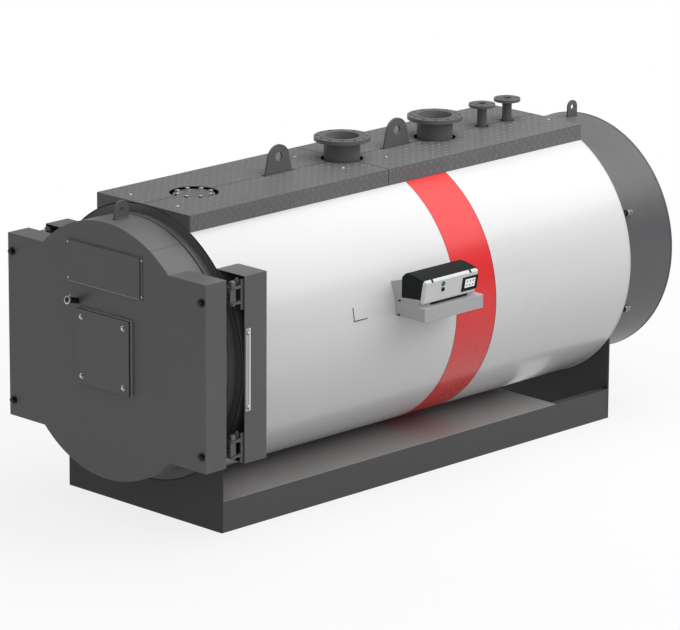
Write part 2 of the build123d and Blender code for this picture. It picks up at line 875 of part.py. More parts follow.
# Hinge columns: sheet boxes open to the front, with a curved inner wall against the round casing
column_height = 2 * column_half_height
pocket_half_width = column_half_width - column_sheet
with BuildPart() as hinge_columns:
    for side in (-1, 1):
        with BuildSketch(across(front_y)):
            with Locations((side * column_half_width / 2, shell_height)):
                Rectangle(column_half_width, column_height)
            with Locations((0, shell_height)):
                Circle(casing_radius + fit_gap, mode=Mode.SUBTRACT)
        extrude(amount=-column_depth)
        with BuildSketch(across(front_y)):
            with Locations((side * pocket_half_width / 2, shell_height)):
                Rectangle(pocket_half_width, column_height - 2 * column_sheet)
            with Locations((0, shell_height)):
                Circle(casing_radius + fit_gap + column_sheet, mode=Mode.SUBTRACT)
        extrude(amount=-(column_depth - column_sheet), mode=Mode.SUBTRACT)
hinge_columns.part.label = "hinge_columns"
export_step(hinge_columns.part, "parts/hinge_columns.step")

# Hinge forks: a side plate in the column and two level plates that hold the pin
fork_side_x = column_half_width - column_sheet - fork_side_gap
fork_plate_reach = fork_side_x - hinge_x + fork_plate_nose
fork_side_depth = fork_side_front + column_depth - column_sheet
with BuildPart() as hinge_forks:
    for side in (-1, 1):
        for height in hinge_heights:
            with BuildSketch(upright(side * (fork_side_x - fork_side_thickness))):
                with Locations((front_y - fork_side_front + fork_side_depth / 2, height)):
                    Rectangle(fork_side_depth, fork_side_height)
            extrude(amount=side * fork_side_thickness)
            for rise in (-fork_spacing / 2, fork_spacing / 2):
                with BuildSketch(level(height + rise - fork_plate_thickness / 2)):
                    with Locations((side * hinge_x, hinge_y)):
                        Circle(fork_plate_nose)
                    with Locations(
                        (
                            side * (fork_side_x - fork_plate_reach / 2),
                            (hinge_y + front_y + fork_plate_back) / 2,
                        )
                    ):
                        Rectangle(fork_plate_reach, hinge_depth + fork_plate_back)
                    with Locations((side * hinge_x, hinge_y)):
                        Circle(pin_radius + pin_gap, mode=Mode.SUBTRACT)
                extrude(amount=fork_plate_thickness)
hinge_forks.part.label = "hinge_forks"
export_step(hinge_forks.part, "parts/hinge_forks.step")

pin_half_length = fork_spacing / 2 + fork_plate_thickness / 2
with BuildPart() as hinge_pins:
    for side in (-1, 1):
        for height in hinge_heights:
            with BuildSketch(level(height - pin_half_length - pin_tail)):
                with Locations((side * hinge_x, hinge_y)):
                    Circle(pin_radius)
            extrude(amount=2 * pin_half_length + pin_tail)
            with BuildSketch(level(height + pin_half_length)):
                with Locations((side * hinge_x, hinge_y)):
                    Circle(pin_head_radius)
            extrude(amount=pin_head_height)
hinge_pins.part.label = "hinge_pins"
export_step(hinge_pins.part, "parts/hinge_pins.step")

# Blocks on the pins: those on the right turn with the door, those on the left take its closing studs
knuckle_height = fork_spacing - fork_plate_thickness - 2 * knuckle_end_gap


def pin_blocks(side):
    """Blocks that sit on the pins between the fork plates, each with a flat nose to the front."""
    with BuildPart() as blocks:
        for height in hinge_heights:
            with BuildSketch(level(height - knuckle_height / 2)):
                with Locations((side * hinge_x, hinge_y)):
                    Circle(knuckle_radius)
                with Locations((side * hinge_x, hinge_y - knuckle_nose / 2)):
                    Rectangle(2 * knuckle_radius, knuckle_nose)
                with Locations((side * hinge_x, hinge_y)):
                    Circle(pin_radius + pin_gap, mode=Mode.SUBTRACT)
            extrude(amount=knuckle_height)
    return blocks


hinge_blocks = pin_blocks(1)
hinge_blocks.part.label = "hinge_blocks"
export_step(hinge_blocks.part, "parts/hinge_blocks.step")

with BuildPart() as latch_blocks:
    add(pin_blocks(-1).part)
    with BuildSketch(across(hinge_y - knuckle_nose)):
        for height in hinge_heights:
            with Locations((-hinge_x, height)):
                Circle(stud_hole_radius)
    extrude(amount=-knuckle_nose, mode=Mode.SUBTRACT)
latch_blocks.part.label = "latch_blocks"
export_step(latch_blocks.part, "parts/latch_blocks.step")

with BuildPart() as closing_strip:
    with BuildSketch(upright(column_half_width)):
        with Locations((front_y + closing_strip_inset + closing_strip_width / 2, shell_height)):
            Rectangle(closing_strip_width, closing_strip_length)
    extrude(amount=closing_strip_thickness)
closing_strip.part.label = "closing_strip"
export_step(closing_strip.part, "parts/closing_strip.step")

# Front door: a round pan with a side box at each side
box_height = 2 * (column_half_height + door_box_overlap)
door_back_ring_radius = collar_radius - door_back_ring_width
with BuildPart() as door_shell:
    with BuildSketch(across(door_front_y)):
        with Locations((0, shell_height)):
            Rectangle(2 * door_half_width, box_height)
        with Locations((0, shell_height)):
            Circle(collar_radius)
    extrude(amount=-door_box_depth)
    with BuildSketch(across(door_front_y)):
        with Locations((0, shell_height)):
            Circle(collar_radius)
    extrude(amount=-door_rim_depth)
    with BuildSketch(across(door_front_y + door_plate)):
        with Locations((0, shell_height)):
            Circle(collar_radius - door_plate)
    extrude(amount=-(door_rim_depth - 2 * door_plate), mode=Mode.SUBTRACT)
    with BuildSketch(across(door_back_y)):
        with Locations((0, shell_height)):
            Circle(door_back_ring_radius)
    extrude(amount=door_plate, mode=Mode.SUBTRACT)
    with BuildSketch(across(door_front_y)):
        with Locations((0, shell_height)):
            Circle(burner_throat_radius)
    extrude(amount=-door_plate, mode=Mode.SUBTRACT)
    with BuildSketch(across(door_front_y + door_plate)):
        with Locations((0, shell_height)):
            Rectangle(2 * (door_half_width - door_box_sheet), box_height - 2 * door_box_sheet)
        with Locations((0, shell_height)):
            Circle(collar_radius, mode=Mode.SUBTRACT)
    extrude(amount=-(door_box_depth - door_plate - door_box_sheet), mode=Mode.SUBTRACT)
    with BuildSketch(across(door_front_y)):
        for side in (-1, 1):
            for height in hinge_heights:
                with Locations((side * hinge_x, height)):
                    Circle(stud_radius + fit_gap)
    extrude(amount=-door_box_depth, mode=Mode.SUBTRACT)
door_shell.part.label = "door_shell"
export_step(door_shell.part, "parts/door_shell.step")

refractory_front_y = door_front_y + door_plate + fit_gap
refractory_step = seal_thickness + tube_plate_set_back - refractory_gap
with BuildPart() as door_refractory:
    with BuildSketch(across(refractory_front_y)):
        with Locations((0, shell_height)):
            Circle(collar_radius - door_plate - fit_gap)
    extrude(amount=-(door_rim_depth - 2 * door_plate - 2 * fit_gap))
    with BuildSketch(across(refractory_front_y)):
        with Locations((0, shell_height)):
            Circle(door_back_ring_radius - fit_gap)
    extrude(amount=-(door_rim_depth + refractory_step - door_plate - fit_gap))
    with BuildSketch(across(refractory_front_y)):
        with Locations((0, shell_height)):
            Circle(plug_radius)
    extrude(amount=-(door_rim_depth + plug_projection - door_plate - fit_gap))
    with BuildSketch(across(refractory_front_y)):
        with Locations((0, shell_height)):
            Circle(burner_throat_radius)
    extrude(amount=-(door_rim_depth + plug_projection), mode=Mode.SUBTRACT)
door_refractory.part.label = "door_refractory"
export_step(door_refractory.part, "parts/door_refractory.step")

seal_depth = seal_thickness - fit_gap
seal_mean_radius = collar_radius - collar_width / 2
with BuildPart() as door_seal:
    with BuildSketch(across(door_back_y)):
        with Locations((0, shell_height)):
            Circle(seal_mean_radius + seal_width / 2)
            Circle(seal_mean_radius - seal_width / 2, mode=Mode.SUBTRACT)
    extrude(amount=-seal_depth)
door_seal.part.label = "door_seal"
export_step(door_seal.part, "parts/door_seal.step")

with BuildPart() as burner_frame:
    with BuildSketch(across(door_front_y)):
        with Locations((0, shell_height)):
            Rectangle(2 * burner_frame_half, 2 * burner_frame_half)
            Circle(burner_throat_radius, mode=Mode.SUBTRACT)
    extrude(amount=burner_frame_thickness)
    with BuildSketch(across(door_front_y - burner_frame_thickness)):
        with Locations((0, shell_height)):
            Rectangle(
                2 * (burner_plate_half - burner_groove),
                2 * (burner_plate_half - burner_groove),
            )
            Circle(burner_throat_radius, mode=Mode.SUBTRACT)
    extrude(amount=burner_groove)
burner_frame.part.label = "burner_frame"
export_step(burner_frame.part, "parts/burner_frame.step")

burner_plate_y = door_front_y - burner_frame_thickness - burner_groove
with BuildPart() as burner_plate:
    with BuildSketch(across(burner_plate_y)):
        with Locations((0, shell_height)):
            RectangleRounded(2 * burner_plate_half, 2 * burner_plate_half, burner_plate_corner)
    extrude(amount=burner_plate_thickness)
burner_plate.part.label = "burner_plate"
export_step(burner_plate.part, "parts/burner_plate.step")

with BuildPart() as burner_bolts:
    with BuildSketch(across(burner_plate_y - burner_plate_thickness)):
        with Locations((0, shell_height)):
            with GridLocations(2 * burner_bolt_offset, 2 * burner_bolt_offset, 2, 2):
                RegularPolygon(burner_bolt_head_radius, hex_sides)
    extrude(amount=burner_bolt_head_height)
burner_bolts.part.label = "burner_bolts"
export_step(burner_bolts.part, "parts/burner_bolts.step")

panel_centre_height = shell_height + panel_centre_share * collar_radius
with BuildPart() as name_panel_backing:
    with BuildSketch(across(door_front_y)):
        with Locations((0, panel_centre_height)):
            Rectangle(panel_backing_width, panel_backing_height)
    extrude(amount=panel_backing_thickness)
name_panel_backing.part.label = "name_panel_backing"
export_step(name_panel_backing.part, "parts/name_panel_backing.step")

with BuildPart() as name_panel_blank:
    with BuildSketch(across(door_front_y - panel_backing_thickness)):
        with Locations((0, panel_centre_height)):
            Rectangle(panel_face_width, panel_face_height)
    extrude(amount=panel_face_thickness)
name_panel_blank.part.label = "name_panel_blank"
export_step(name_panel_blank.part, "parts/name_panel_blank.step")

sight_height = shell_height + burner_frame_half + sight_gap
sight_plane = Plane(
    origin=(sight_x, door_front_y, sight_height),
    x_dir=(1, 0, 0),
    z_dir=(0, -cos(radians(sight_tilt)), sin(radians(sight_tilt))),
)
with BuildPart() as sight_tube:
    with BuildSketch(sight_plane.offset(-sight_radius)):
        Circle(sight_radius)
    extrude(amount=sight_length + sight_radius)
    with BuildSketch(across(door_front_y)):
        with Locations((sight_x, sight_height)):
            Circle(sight_length)
    extrude(amount=-sight_length, mode=Mode.SUBTRACT)
    with BuildSketch(sight_plane.offset(sight_length - sight_rim_length)):
        Circle(sight_rim_radius)
    extrude(amount=sight_rim_length)
    with BuildSketch(sight_plane.offset(sight_length)):
        Circle(sight_bore_radius)
    extrude(amount=-sight_length / 2, mode=Mode.SUBTRACT)
sight_tube.part.label = "sight_tube"
export_step(sight_tube.part, "parts/sight_tube.step")

door_lug = small_lug(door_front_y + door_lug_inset, door_lug_length, door_lug_height, collar_radius)
door_lug.part.label = "door_lug"
export_step(door_lug.part, "parts/door_lug.step")

# Studs through the door's side boxes, with a washer and a nut in front
stud_front_y = door_front_y - stud_washer_thickness
with BuildPart() as door_studs:
    for side in (-1, 1):
        stud_tip_y = hinge_y - knuckle_nose + (stud_engagement if side < 0 else 0)
        for height in hinge_heights:
            with BuildSketch(across(stud_front_y)):
                with Locations((side * hinge_x, height)):
                    Circle(stud_radius)
            extrude(amount=-(stud_tip_y - stud_front_y))
            with BuildSketch(across(door_front_y)):
                with Locations((side * hinge_x, height)):
                    Circle(stud_washer_radius)
            extrude(amount=stud_washer_thickness)
            with BuildSketch(across(stud_front_y)):
                with Locations((side * hinge_x, height)):
                    RegularPolygon(stud_head_radius, hex_sides)
            extrude(amount=stud_head_height)
door_studs.part.label = "door_studs"
export_step(door_studs.part, "parts/door_studs.step")

# Blank plate on the right-hand side of the casing
with BuildPart() as rating_plate:
    with BuildSketch(across(along(rating_share))):
        with Locations((0, shell_height)):
            Circle(casing_radius + fit_gap + rating_thickness)
            Circle(casing_radius + fit_gap, mode=Mode.SUBTRACT)
        with Locations((casing_radius, shell_height + rating_rise)):
            Rectangle(casing_radius, rating_height, mode=Mode.INTERSECT)
    extrude(amount=-rating_length)
rating_plate.part.label = "rating_plate"
export_step(rating_plate.part, "parts/rating_plate.step")

# Control panel on the right-hand side: a closed tray with a plinth, a bracket behind, a hood and
# a sloping fascia
tray_y = along(tray_start_share)
tray_top = shell_height + tray_rise
tray_floor = tray_top - tray_height + tray_sheet
tray_edge_x = casing_radius + tray_reach
hood_y = tray_y + hood_near_inset
hood_length = tray_length - hood_near_inset - hood_far_inset
hood_back_x = casing_radius + hood_stand_off
fascia_foot_x = casing_radius + fascia_run + hood_stand_off
fascia_foot_height = tray_top + fascia_foot_rise
fascia_top_x = fascia_foot_x + fascia_height * sin(radians(fascia_lean))
fascia_top_height = fascia_foot_height + fascia_height * cos(radians(fascia_lean))
plinth_back_height = tray_top + plinth_back_rise
plinth_front_height = tray_top + plinth_front_rise
plinth_front_x = fascia_foot_x - fit_gap
with BuildPart() as panel_tray:
    with BuildSketch(across(tray_y)):
        with Locations((tray_edge_x / 2, tray_top - tray_height / 2)):
            Rectangle(tray_edge_x, tray_height)
        with Locations((0, shell_height)):
            Circle(casing_radius + fit_gap, mode=Mode.SUBTRACT)
    extrude(amount=-tray_length)
    with BuildSketch(across(hood_y)):
        with BuildLine():
            Polyline(
                (hood_back_x, tray_floor),
                (hood_back_x, plinth_back_height),
                (plinth_front_x, plinth_front_height),
                (plinth_front_x, tray_floor),
                close=True,
            )
        make_face()
    extrude(amount=-hood_length)
    with BuildSketch(across(tray_y + tray_sheet)):
        with Locations(((tray_edge_x - tray_sheet) / 2, (tray_floor + tray_top - tray_sheet) / 2)):
            Rectangle(tray_edge_x - tray_sheet, tray_top - tray_sheet - tray_floor)
    extrude(amount=-(tray_length - 2 * tray_sheet), mode=Mode.SUBTRACT)
panel_tray.part.label = "panel_tray"
export_step(panel_tray.part, "parts/panel_tray.step")

bracket_x = hood_back_x - fit_gap
bracket_foot = tray_top + fit_gap
bracket_top = tray_top + bracket_rise
bracket_y = tray_y + tray_sheet + fit_gap
bracket_length = tray_length - 2 * (tray_sheet + fit_gap)
with BuildPart() as panel_bracket:
    with BuildSketch(across(bracket_y)):
        with BuildLine():
            Polyline(
                (0, bracket_foot),
                (bracket_x, bracket_foot),
                (bracket_x, bracket_top),
                (casing_radius - hood_stand_off, bracket_top - bracket_slope),
                (0, bracket_top - bracket_slope),
                close=True,
            )
        make_face()
        with Locations((0, shell_height)):
            Circle(casing_radius + fit_gap, mode=Mode.SUBTRACT)
    extrude(amount=-bracket_length)
    with BuildSketch(across(bracket_y + bracket_sheet)):
        with Locations(((bracket_x - bracket_sheet) / 2, tray_floor + bracket_rise)):
            Rectangle(bracket_x - bracket_sheet, 2 * (bracket_rise + tray_height))
    extrude(amount=-(bracket_length - 2 * bracket_sheet), mode=Mode.SUBTRACT)
panel_bracket.part.label = "panel_bracket"
export_step(panel_bracket.part, "parts/panel_bracket.step")

hood_ridge_x = hood_back_x + hood_ridge_run
hood_ridge_height = tray_top + hood_ridge_rise
with BuildPart() as panel_hood:
    with BuildSketch(across(hood_y)):
        with BuildLine():
            Polyline(
                (fascia_top_x, fascia_top_height),
                (fascia_foot_x, fascia_foot_height),
                (fascia_foot_x, plinth_front_height + fit_gap),
                (hood_back_x, plinth_back_height + fit_gap),
                (hood_back_x, tray_top + hood_back_rise),
                (hood_ridge_x, hood_ridge_height),
            )
            ThreePointArc(
                (hood_ridge_x, hood_ridge_height),
                (
                    (hood_ridge_x + fascia_top_x) / 2,
                    (hood_ridge_height + fascia_top_height) / 2 + hood_bulge,
                ),
                (fascia_top_x, fascia_top_height),
            )
        make_face()
        fillet(vertices().sort_by(Axis.X)[:3].sort_by(Axis.Y)[-2:], hood_corner_radius)
    extrude(amount=-hood_length)
panel_hood.part.label = "panel_hood"
export_step(panel_hood.part, "parts/panel_hood.step")

fascia_plane = Plane(
    origin=(fascia_foot_x, hood_y + hood_length / 2, fascia_foot_height),
    x_dir=(0, 1, 0),
    z_dir=(cos(radians(fascia_lean)), 0, -sin(radians(fascia_lean))),
)
with BuildPart() as panel_fascia:
    with BuildSketch(fascia_plane):
        with Locations((0, fascia_height / 2)):
            RectangleRounded(hood_length, fascia_height, fascia_corner)
    extrude(amount=fascia_thickness)
    fascia_front = panel_fascia.faces().sort_by(Axis(fascia_plane.origin, fascia_plane.z_dir))[-1]
    fascia_rim = fascia_front.edges()
    chamfer(fascia_rim, fascia_bevel)
panel_fascia.part.label = "panel_fascia"
export_step(panel_fascia.part, "parts/panel_fascia.step")
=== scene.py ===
"""Looks of the industrial boiler: materials, fine detail, floor, light and camera.

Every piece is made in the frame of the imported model, in metres: X is to the right seen from the
front door, Y runs to the rear and Z is up.
"""

import json
import logging
import math
from dataclasses import dataclass, field
from enum import Enum
from functools import cache
from typing import Iterable, Mapping, Sequence, Union

import bpy
from mathutils import Matrix, Vector


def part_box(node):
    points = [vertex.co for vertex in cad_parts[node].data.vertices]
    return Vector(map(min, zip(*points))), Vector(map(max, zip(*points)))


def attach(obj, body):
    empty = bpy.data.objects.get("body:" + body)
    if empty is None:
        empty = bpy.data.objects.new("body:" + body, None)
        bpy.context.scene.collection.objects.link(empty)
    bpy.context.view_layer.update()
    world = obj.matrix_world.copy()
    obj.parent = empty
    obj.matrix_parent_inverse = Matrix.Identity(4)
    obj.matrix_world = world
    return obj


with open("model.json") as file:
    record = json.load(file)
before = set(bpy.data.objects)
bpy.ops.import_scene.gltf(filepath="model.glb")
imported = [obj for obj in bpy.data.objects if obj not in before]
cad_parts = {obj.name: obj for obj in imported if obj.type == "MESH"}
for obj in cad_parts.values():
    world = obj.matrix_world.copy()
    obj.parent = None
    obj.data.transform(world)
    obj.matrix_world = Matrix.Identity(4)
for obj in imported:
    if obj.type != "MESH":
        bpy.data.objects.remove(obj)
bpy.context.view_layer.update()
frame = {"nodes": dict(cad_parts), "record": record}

logging.basicConfig(level=logging.INFO, format="%(message)s")
LOG = logging.getLogger("boiler")

Colour = tuple[float, float, float]
Number = Union[int, float]
Output = bpy.types.NodeSocket
Pair = tuple[float, float]
# Points of an outline as across and up, or of a turned profile as radius and way out
Pairs = Sequence[Pair]


class Body(Enum):
    """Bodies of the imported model."""

    BOILER = "root"
    DOOR = "front_door"


# Materials


class Socket:
    """Output of a node; arithmetic on it adds Math nodes to the same graph."""

    def __init__(self, graph: "Graph", output: Output) -> None:
        """Args: the graph that holds the node, and the node's output."""
        self.graph = graph
        self.output = output

    def _math(self, operation: str, *values: "Value") -> "Socket":
        """Args: kind of arithmetic and its values. Returns: the new Math node's output."""
        node = self.graph.node("ShaderNodeMath", dict(enumerate(values)), operation=operation)
        return Socket(self.graph, node.outputs[0])

    def __add__(self, other: "Value") -> "Socket":
        """Returns: this plus the other."""
        return self._math("ADD", self, other)

    def __radd__(self, other: Number) -> "Socket":
        """Returns: the other plus this."""
        return self._math("ADD", other, self)

    def __sub__(self, other: "Value") -> "Socket":
        """Returns: this less the other."""
        return self._math("SUBTRACT", self, other)

    def __rsub__(self, other: Number) -> "Socket":
        """Returns: the other less this."""
        return self._math("SUBTRACT", other, self)

    def __mul__(self, other: "Value") -> "Socket":
        """Returns: this times the other."""
        return self._math("MULTIPLY", self, other)

    def __rmul__(self, other: Number) -> "Socket":
        """Returns: the other times this."""
        return self._math("MULTIPLY", other, self)

    def __truediv__(self, other: "Value") -> "Socket":
        """Returns: this divided by the other."""
        return self._math("DIVIDE", self, other)

    def clipped(self) -> "Socket":
        """Returns: this value kept between 0 and 1."""
        return self._math("MINIMUM", self._math("MAXIMUM", self, 0.0), 1.0)

    def ramp(self, low: float, high: float) -> "Socket":
        """Args: values that become 0 and 1. Returns: the clipped share between them."""
        return ((self - low) / (high - low)).clipped()


Value = Union[Socket, Number]
Source = Union[Socket, Output, Number, Sequence[float]]
Inputs = Mapping[Union[int, str], Source]
COLOUR_INPUTS = ("Base Color", "Emission Color")


class Graph:
    """Node graph of one material or of the world."""

    def __init__(self, owner: Union[bpy.types.Material, bpy.types.World]) -> None:
        """Args: material or world whose nodes are made anew."""
        owner.use_nodes = True
        self.owner = owner
        self.tree = owner.node_tree
        self.tree.nodes.clear()

    @classmethod
    def material(cls, name: str) -> "Graph":
        """Returns: the empty graph of a new material."""
        return cls(bpy.data.materials.new(name))

    def node(self, kind: str, inputs: Inputs | None = None, **settings: object) -> bpy.types.Node:
        """Makes a node of any kind.

        Args:
            kind: Blender's name for the node type.
            inputs: a value or a source for each input, by index or name.
            settings: attributes to set on the node first.
        Returns:
            The new node.
        """
        made = self.tree.nodes.new(kind)
        for attribute, value in settings.items():
            setattr(made, attribute, value)
        for key, source in (inputs or {}).items():
            if isinstance(source, Socket):
                source = source.output
            if isinstance(source, Output):
                self.tree.links.new(source, made.inputs[key])
            else:
                made.inputs[key].default_value = source
        return made

    def place(self) -> Output:
        """Returns: the point being shaded, in the frame of the model."""
        return self.node("ShaderNodeTexCoord").outputs["Object"]

    def scaled(self, vector: Output, factors: Colour) -> Output:
        """Returns: the vector with its parts multiplied by the factors."""
        return self.node("ShaderNodeVectorMath", {0: vector, 1: factors}, operation="MULTIPLY").outputs[0]

    def noise(self, vector: Output, scale: float, detail: float = 2.0) -> Socket:
        """Returns: smooth noise between 0 and 1."""
        made = self.node("ShaderNodeTexNoise", {"Vector": vector, "Scale": scale, "Detail": detail})
        return Socket(self, made.outputs[0])

    def cells(self, vector: Output, scale: float) -> Socket:
        """Returns: the distance to the nearest of many scattered points."""
        made = self.node("ShaderNodeTexVoronoi", {"Vector": vector, "Scale": scale})
        return Socket(self, made.outputs["Distance"])

    def blend(self, share: Socket, first: Source, second: Source) -> Output:
        """Mixes two colours.

        Args:
            share: how much of the second colour there is.
            first: colour where the share is 0.
            second: colour where the share is 1.
        Returns:
            The mixed colour.
        """
        values = {0: share}
        for index, colour in ((6, first), (7, second)):
            values[index] = (*colour, 1.0) if isinstance(colour, tuple) else colour
        made = self.node("ShaderNodeMix", values, data_type="RGBA", blend_type="MIX")
        return made.outputs[2]

    def normal(self) -> Output:
        """Returns: the direction that the surface faces."""
        return self.node("ShaderNodeNewGeometry").outputs["Normal"]

    def upward(self) -> Socket:
        """Returns: how far the surface looks up, from -1 to 1."""
        return Socket(self, self.node("ShaderNodeSeparateXYZ", {0: self.normal()}).outputs["Z"])

    def rounded(self, radius: float) -> tuple[Output, Socket]:
        """Rounds the edges in the shading.

        Args:
            radius: radius of the rounding in metres.
        Returns:
            The rounded normal, and a share that is 1 on edges.
        """
        normal = self.node("ShaderNodeBevel", {"Radius": radius}, samples=4).outputs[0]
        dot = self.node("ShaderNodeVectorMath", {0: normal, 1: self.normal()}, operation="DOT_PRODUCT")
        return normal, (1.0 - Socket(self, dot.outputs["Value"])).ramp(0.02, 0.25)

    def bumped(self, height: Socket, depth: float, normal: Output | None = None) -> Output:
        """Bumps the surface.

        Args:
            height: pattern from 0 to 1.
            depth: its depth in metres.
            normal: the normal under it, if it is not the plain one.
        Returns:
            The bumped normal.
        """
        inputs = {"Height": height, "Distance": depth, "Strength": 1.0}
        if normal is not None:
            inputs["Normal"] = normal
        return self.node("ShaderNodeBump", inputs).outputs[0]

    def finish(self, inputs: Inputs) -> bpy.types.Material:
        """Ends the graph with a surface shader.

        Args:
            inputs: its inputs by name.
        Returns:
            The finished material.
        """
        values = {key: (*value, 1.0) if key in COLOUR_INPUTS and isinstance(value, tuple) else value
                  for key, value in inputs.items()}
        shader = self.node("ShaderNodeBsdfPrincipled", values)
        self.node("ShaderNodeOutputMaterial", {"Surface": shader.outputs[0]})
        return self.owner


def shade(colour: Colour, factor: float, lift: float = 0.0) -> Colour:
    """Returns: the colour times a factor plus a lift, kept at 1 or under."""
    return tuple(min(1.0, part * factor + lift) for part in colour)


@dataclass(frozen=True)
class Finish:
    """Looks of one kind of surface."""

    name: str
    colour: Colour

    def start(self) -> tuple[Graph, Output]:
        """Returns: an empty graph under the finish's name, and the point being shaded."""
        graph = Graph.material(self.name)
        return graph, graph.place()

    def build(self) -> bpy.types.Material:
        """Returns: the material, which each kind of finish makes in its own way."""
        raise NotImplementedError


@dataclass(frozen=True)
class Paint(Finish):
    """Sprayed paint with fine orange peel, dust and painted light on up-facing faces, and a painted highlight
    on its edges.
    """

    roughness: float
    # share of lighter colour on up-facing faces: dust in patches and painted light from above
    dust_and_top_light: float = 0.0
    # share of painted highlight on the rounded edges
    edge: float = 0.0
    peel: float = 0.00004
    coat: float = 0.0
    spread: float = 0.06

    def build(self) -> bpy.types.Material:
        """Returns: the paint's material."""
        graph, place = self.start()
        broad = graph.noise(place, 1.9, 3.0)
        fine = graph.noise(place, 140.0, 1.0)
        colour = graph.blend(broad.ramp(0.3, 0.7), shade(self.colour, 1 - self.spread),
                             shade(self.colour, 1 + self.spread))
        # painted light and dust: up-facing faces turn lighter in patches
        if self.dust_and_top_light:
            patches = 0.55 + 0.9 * graph.noise(place, 7.0, 4.0)
            top_dust_and_light = (graph.upward().ramp(0.2, 1.0) * patches * self.dust_and_top_light).clipped()
            colour = graph.blend(top_dust_and_light, colour, (0.42, 0.42, 0.41))
        normal = None
        # painted highlight: the colour turns lighter on rounded edges
        if self.edge:
            normal, rim = graph.rounded(0.0035)
            colour = graph.blend((rim * self.edge).clipped(), colour, shade(self.colour, 2.4, 0.03))
        return graph.finish({
            "Base Color": colour,
            "Roughness": self.roughness + 0.12 * (broad - 0.5) + 0.06 * (fine - 0.5),
            "Coat Weight": self.coat,
            "Coat Roughness": 0.12,
            "Normal": graph.bumped(fine, self.peel, normal),
        })


@dataclass(frozen=True)
class Metal(Finish):
    """Bare or plated metal with a fine grain and faint stains."""

    roughness: float
    metallic: float = 1.0
    grain: float = 240.0
    stain: Colour = (0.25, 0.2, 0.16)
    stain_share: float = 0.15

    def build(self) -> bpy.types.Material:
        """Returns: the metal's material."""
        graph, place = self.start()
        grain = graph.noise(place, self.grain, 3.0)
        patch = graph.noise(place, 9.0, 4.0).ramp(0.52, 0.8) * self.stain_share
        colour = graph.blend(patch, self.colour, self.stain)
        return graph.finish({
            "Base Color": colour,
            "Metallic": self.metallic,
            "Roughness": self.roughness + 0.15 * (grain - 0.5),
            "Normal": graph.bumped(grain, 0.00003),
        })


@dataclass(frozen=True)
class Scaled(Finish):
    """Boiler plate with mill scale, soot and a touch of rust."""

    rust: Colour
    rust_share: float

    def build(self) -> bpy.types.Material:
        """Returns: the plate's material."""
        graph, place = self.start()
        patch = graph.noise(place, 6.0, 6.0)
        grain = graph.noise(place, 80.0, 3.0)
        colour = graph.blend(patch.ramp(0.42, 0.68) * self.rust_share, self.colour, self.rust)
        return graph.finish({
            "Base Color": colour,
            "Metallic": 0.35,
            "Roughness": 0.62 + 0.2 * (grain - 0.5),
            "Normal": graph.bumped(grain * 0.5 + patch * 0.5, 0.0004),
        })


@dataclass(frozen=True)
class Cast(Finish):
    """Cast refractory concrete with pores and faint trowel marks."""

    def build(self) -> bpy.types.Material:
        """Returns: the concrete's material."""
        graph, place = self.start()
        pores = graph.cells(place, 110.0).ramp(0.0, 0.35)
        patch = graph.noise(place, 5.0, 5.0)
        colour = graph.blend(patch.ramp(0.35, 0.65), shade(self.colour, 0.72), self.colour)
        height = pores * 0.6 + graph.noise(place, 35.0, 4.0) * 0.4
        return graph.finish({
            "Base Color": colour,
            "Roughness": 0.9 - 0.1 * patch,
            "Normal": graph.bumped(height, 0.0012),
        })


@dataclass(frozen=True)
class Fibre(Finish):
    """Matted fibre: mineral wool or a braided seal rope."""

    scale: float
    depth: float

    def build(self) -> bpy.types.Material:
        """Returns: the fibre's material."""
        graph, place = self.start()
        strand = graph.noise(graph.scaled(place, (1.0, 3.0, 1.0)), self.scale, 5.0)
        knot = graph.cells(place, self.scale * 0.8)
        return graph.finish({
            "Base Color": graph.blend(strand.ramp(0.3, 0.7), shade(self.colour, 0.6), self.colour),
            "Roughness": 0.95 - 0.1 * strand,
            "Sheen Weight": 0.2,
            "Normal": graph.bumped(strand * 0.6 + knot * 0.4, self.depth),
        })


@dataclass(frozen=True)
class Plastic(Finish):
    """Moulded plastic with a fine spark-eroded grain."""

    roughness: float
    grain: float = 0.00005
    shine: float = 0.5

    def build(self) -> bpy.types.Material:
        """Returns: the plastic's material."""
        graph, place = self.start()
        spark = graph.noise(place, 900.0, 2.0)
        broad = graph.noise(place, 6.0, 2.0)
        normal, _ = graph.rounded(0.002)
        return graph.finish({
            "Base Color": graph.blend(broad, shade(self.colour, 0.92), self.colour),
            "Roughness": self.roughness + 0.1 * (spark - 0.5),
            "Specular IOR Level": self.shine,
            "Normal": graph.bumped(spark, self.grain, normal),
        })


@dataclass(frozen=True)
class Lit(Finish):
    """Screen or lens that glows a little."""

    glow: float

    def build(self) -> bpy.types.Material:
        """Returns: the screen's material."""
        graph, place = self.start()
        haze = graph.noise(place, 25.0, 1.0)
        colour = graph.blend(haze, shade(self.colour, 0.94), self.colour)
        return graph.finish({
            "Base Color": colour,
            "Emission Color": colour,
            "Emission Strength": self.glow,
            "Roughness": 0.2 + 0.1 * haze,
        })


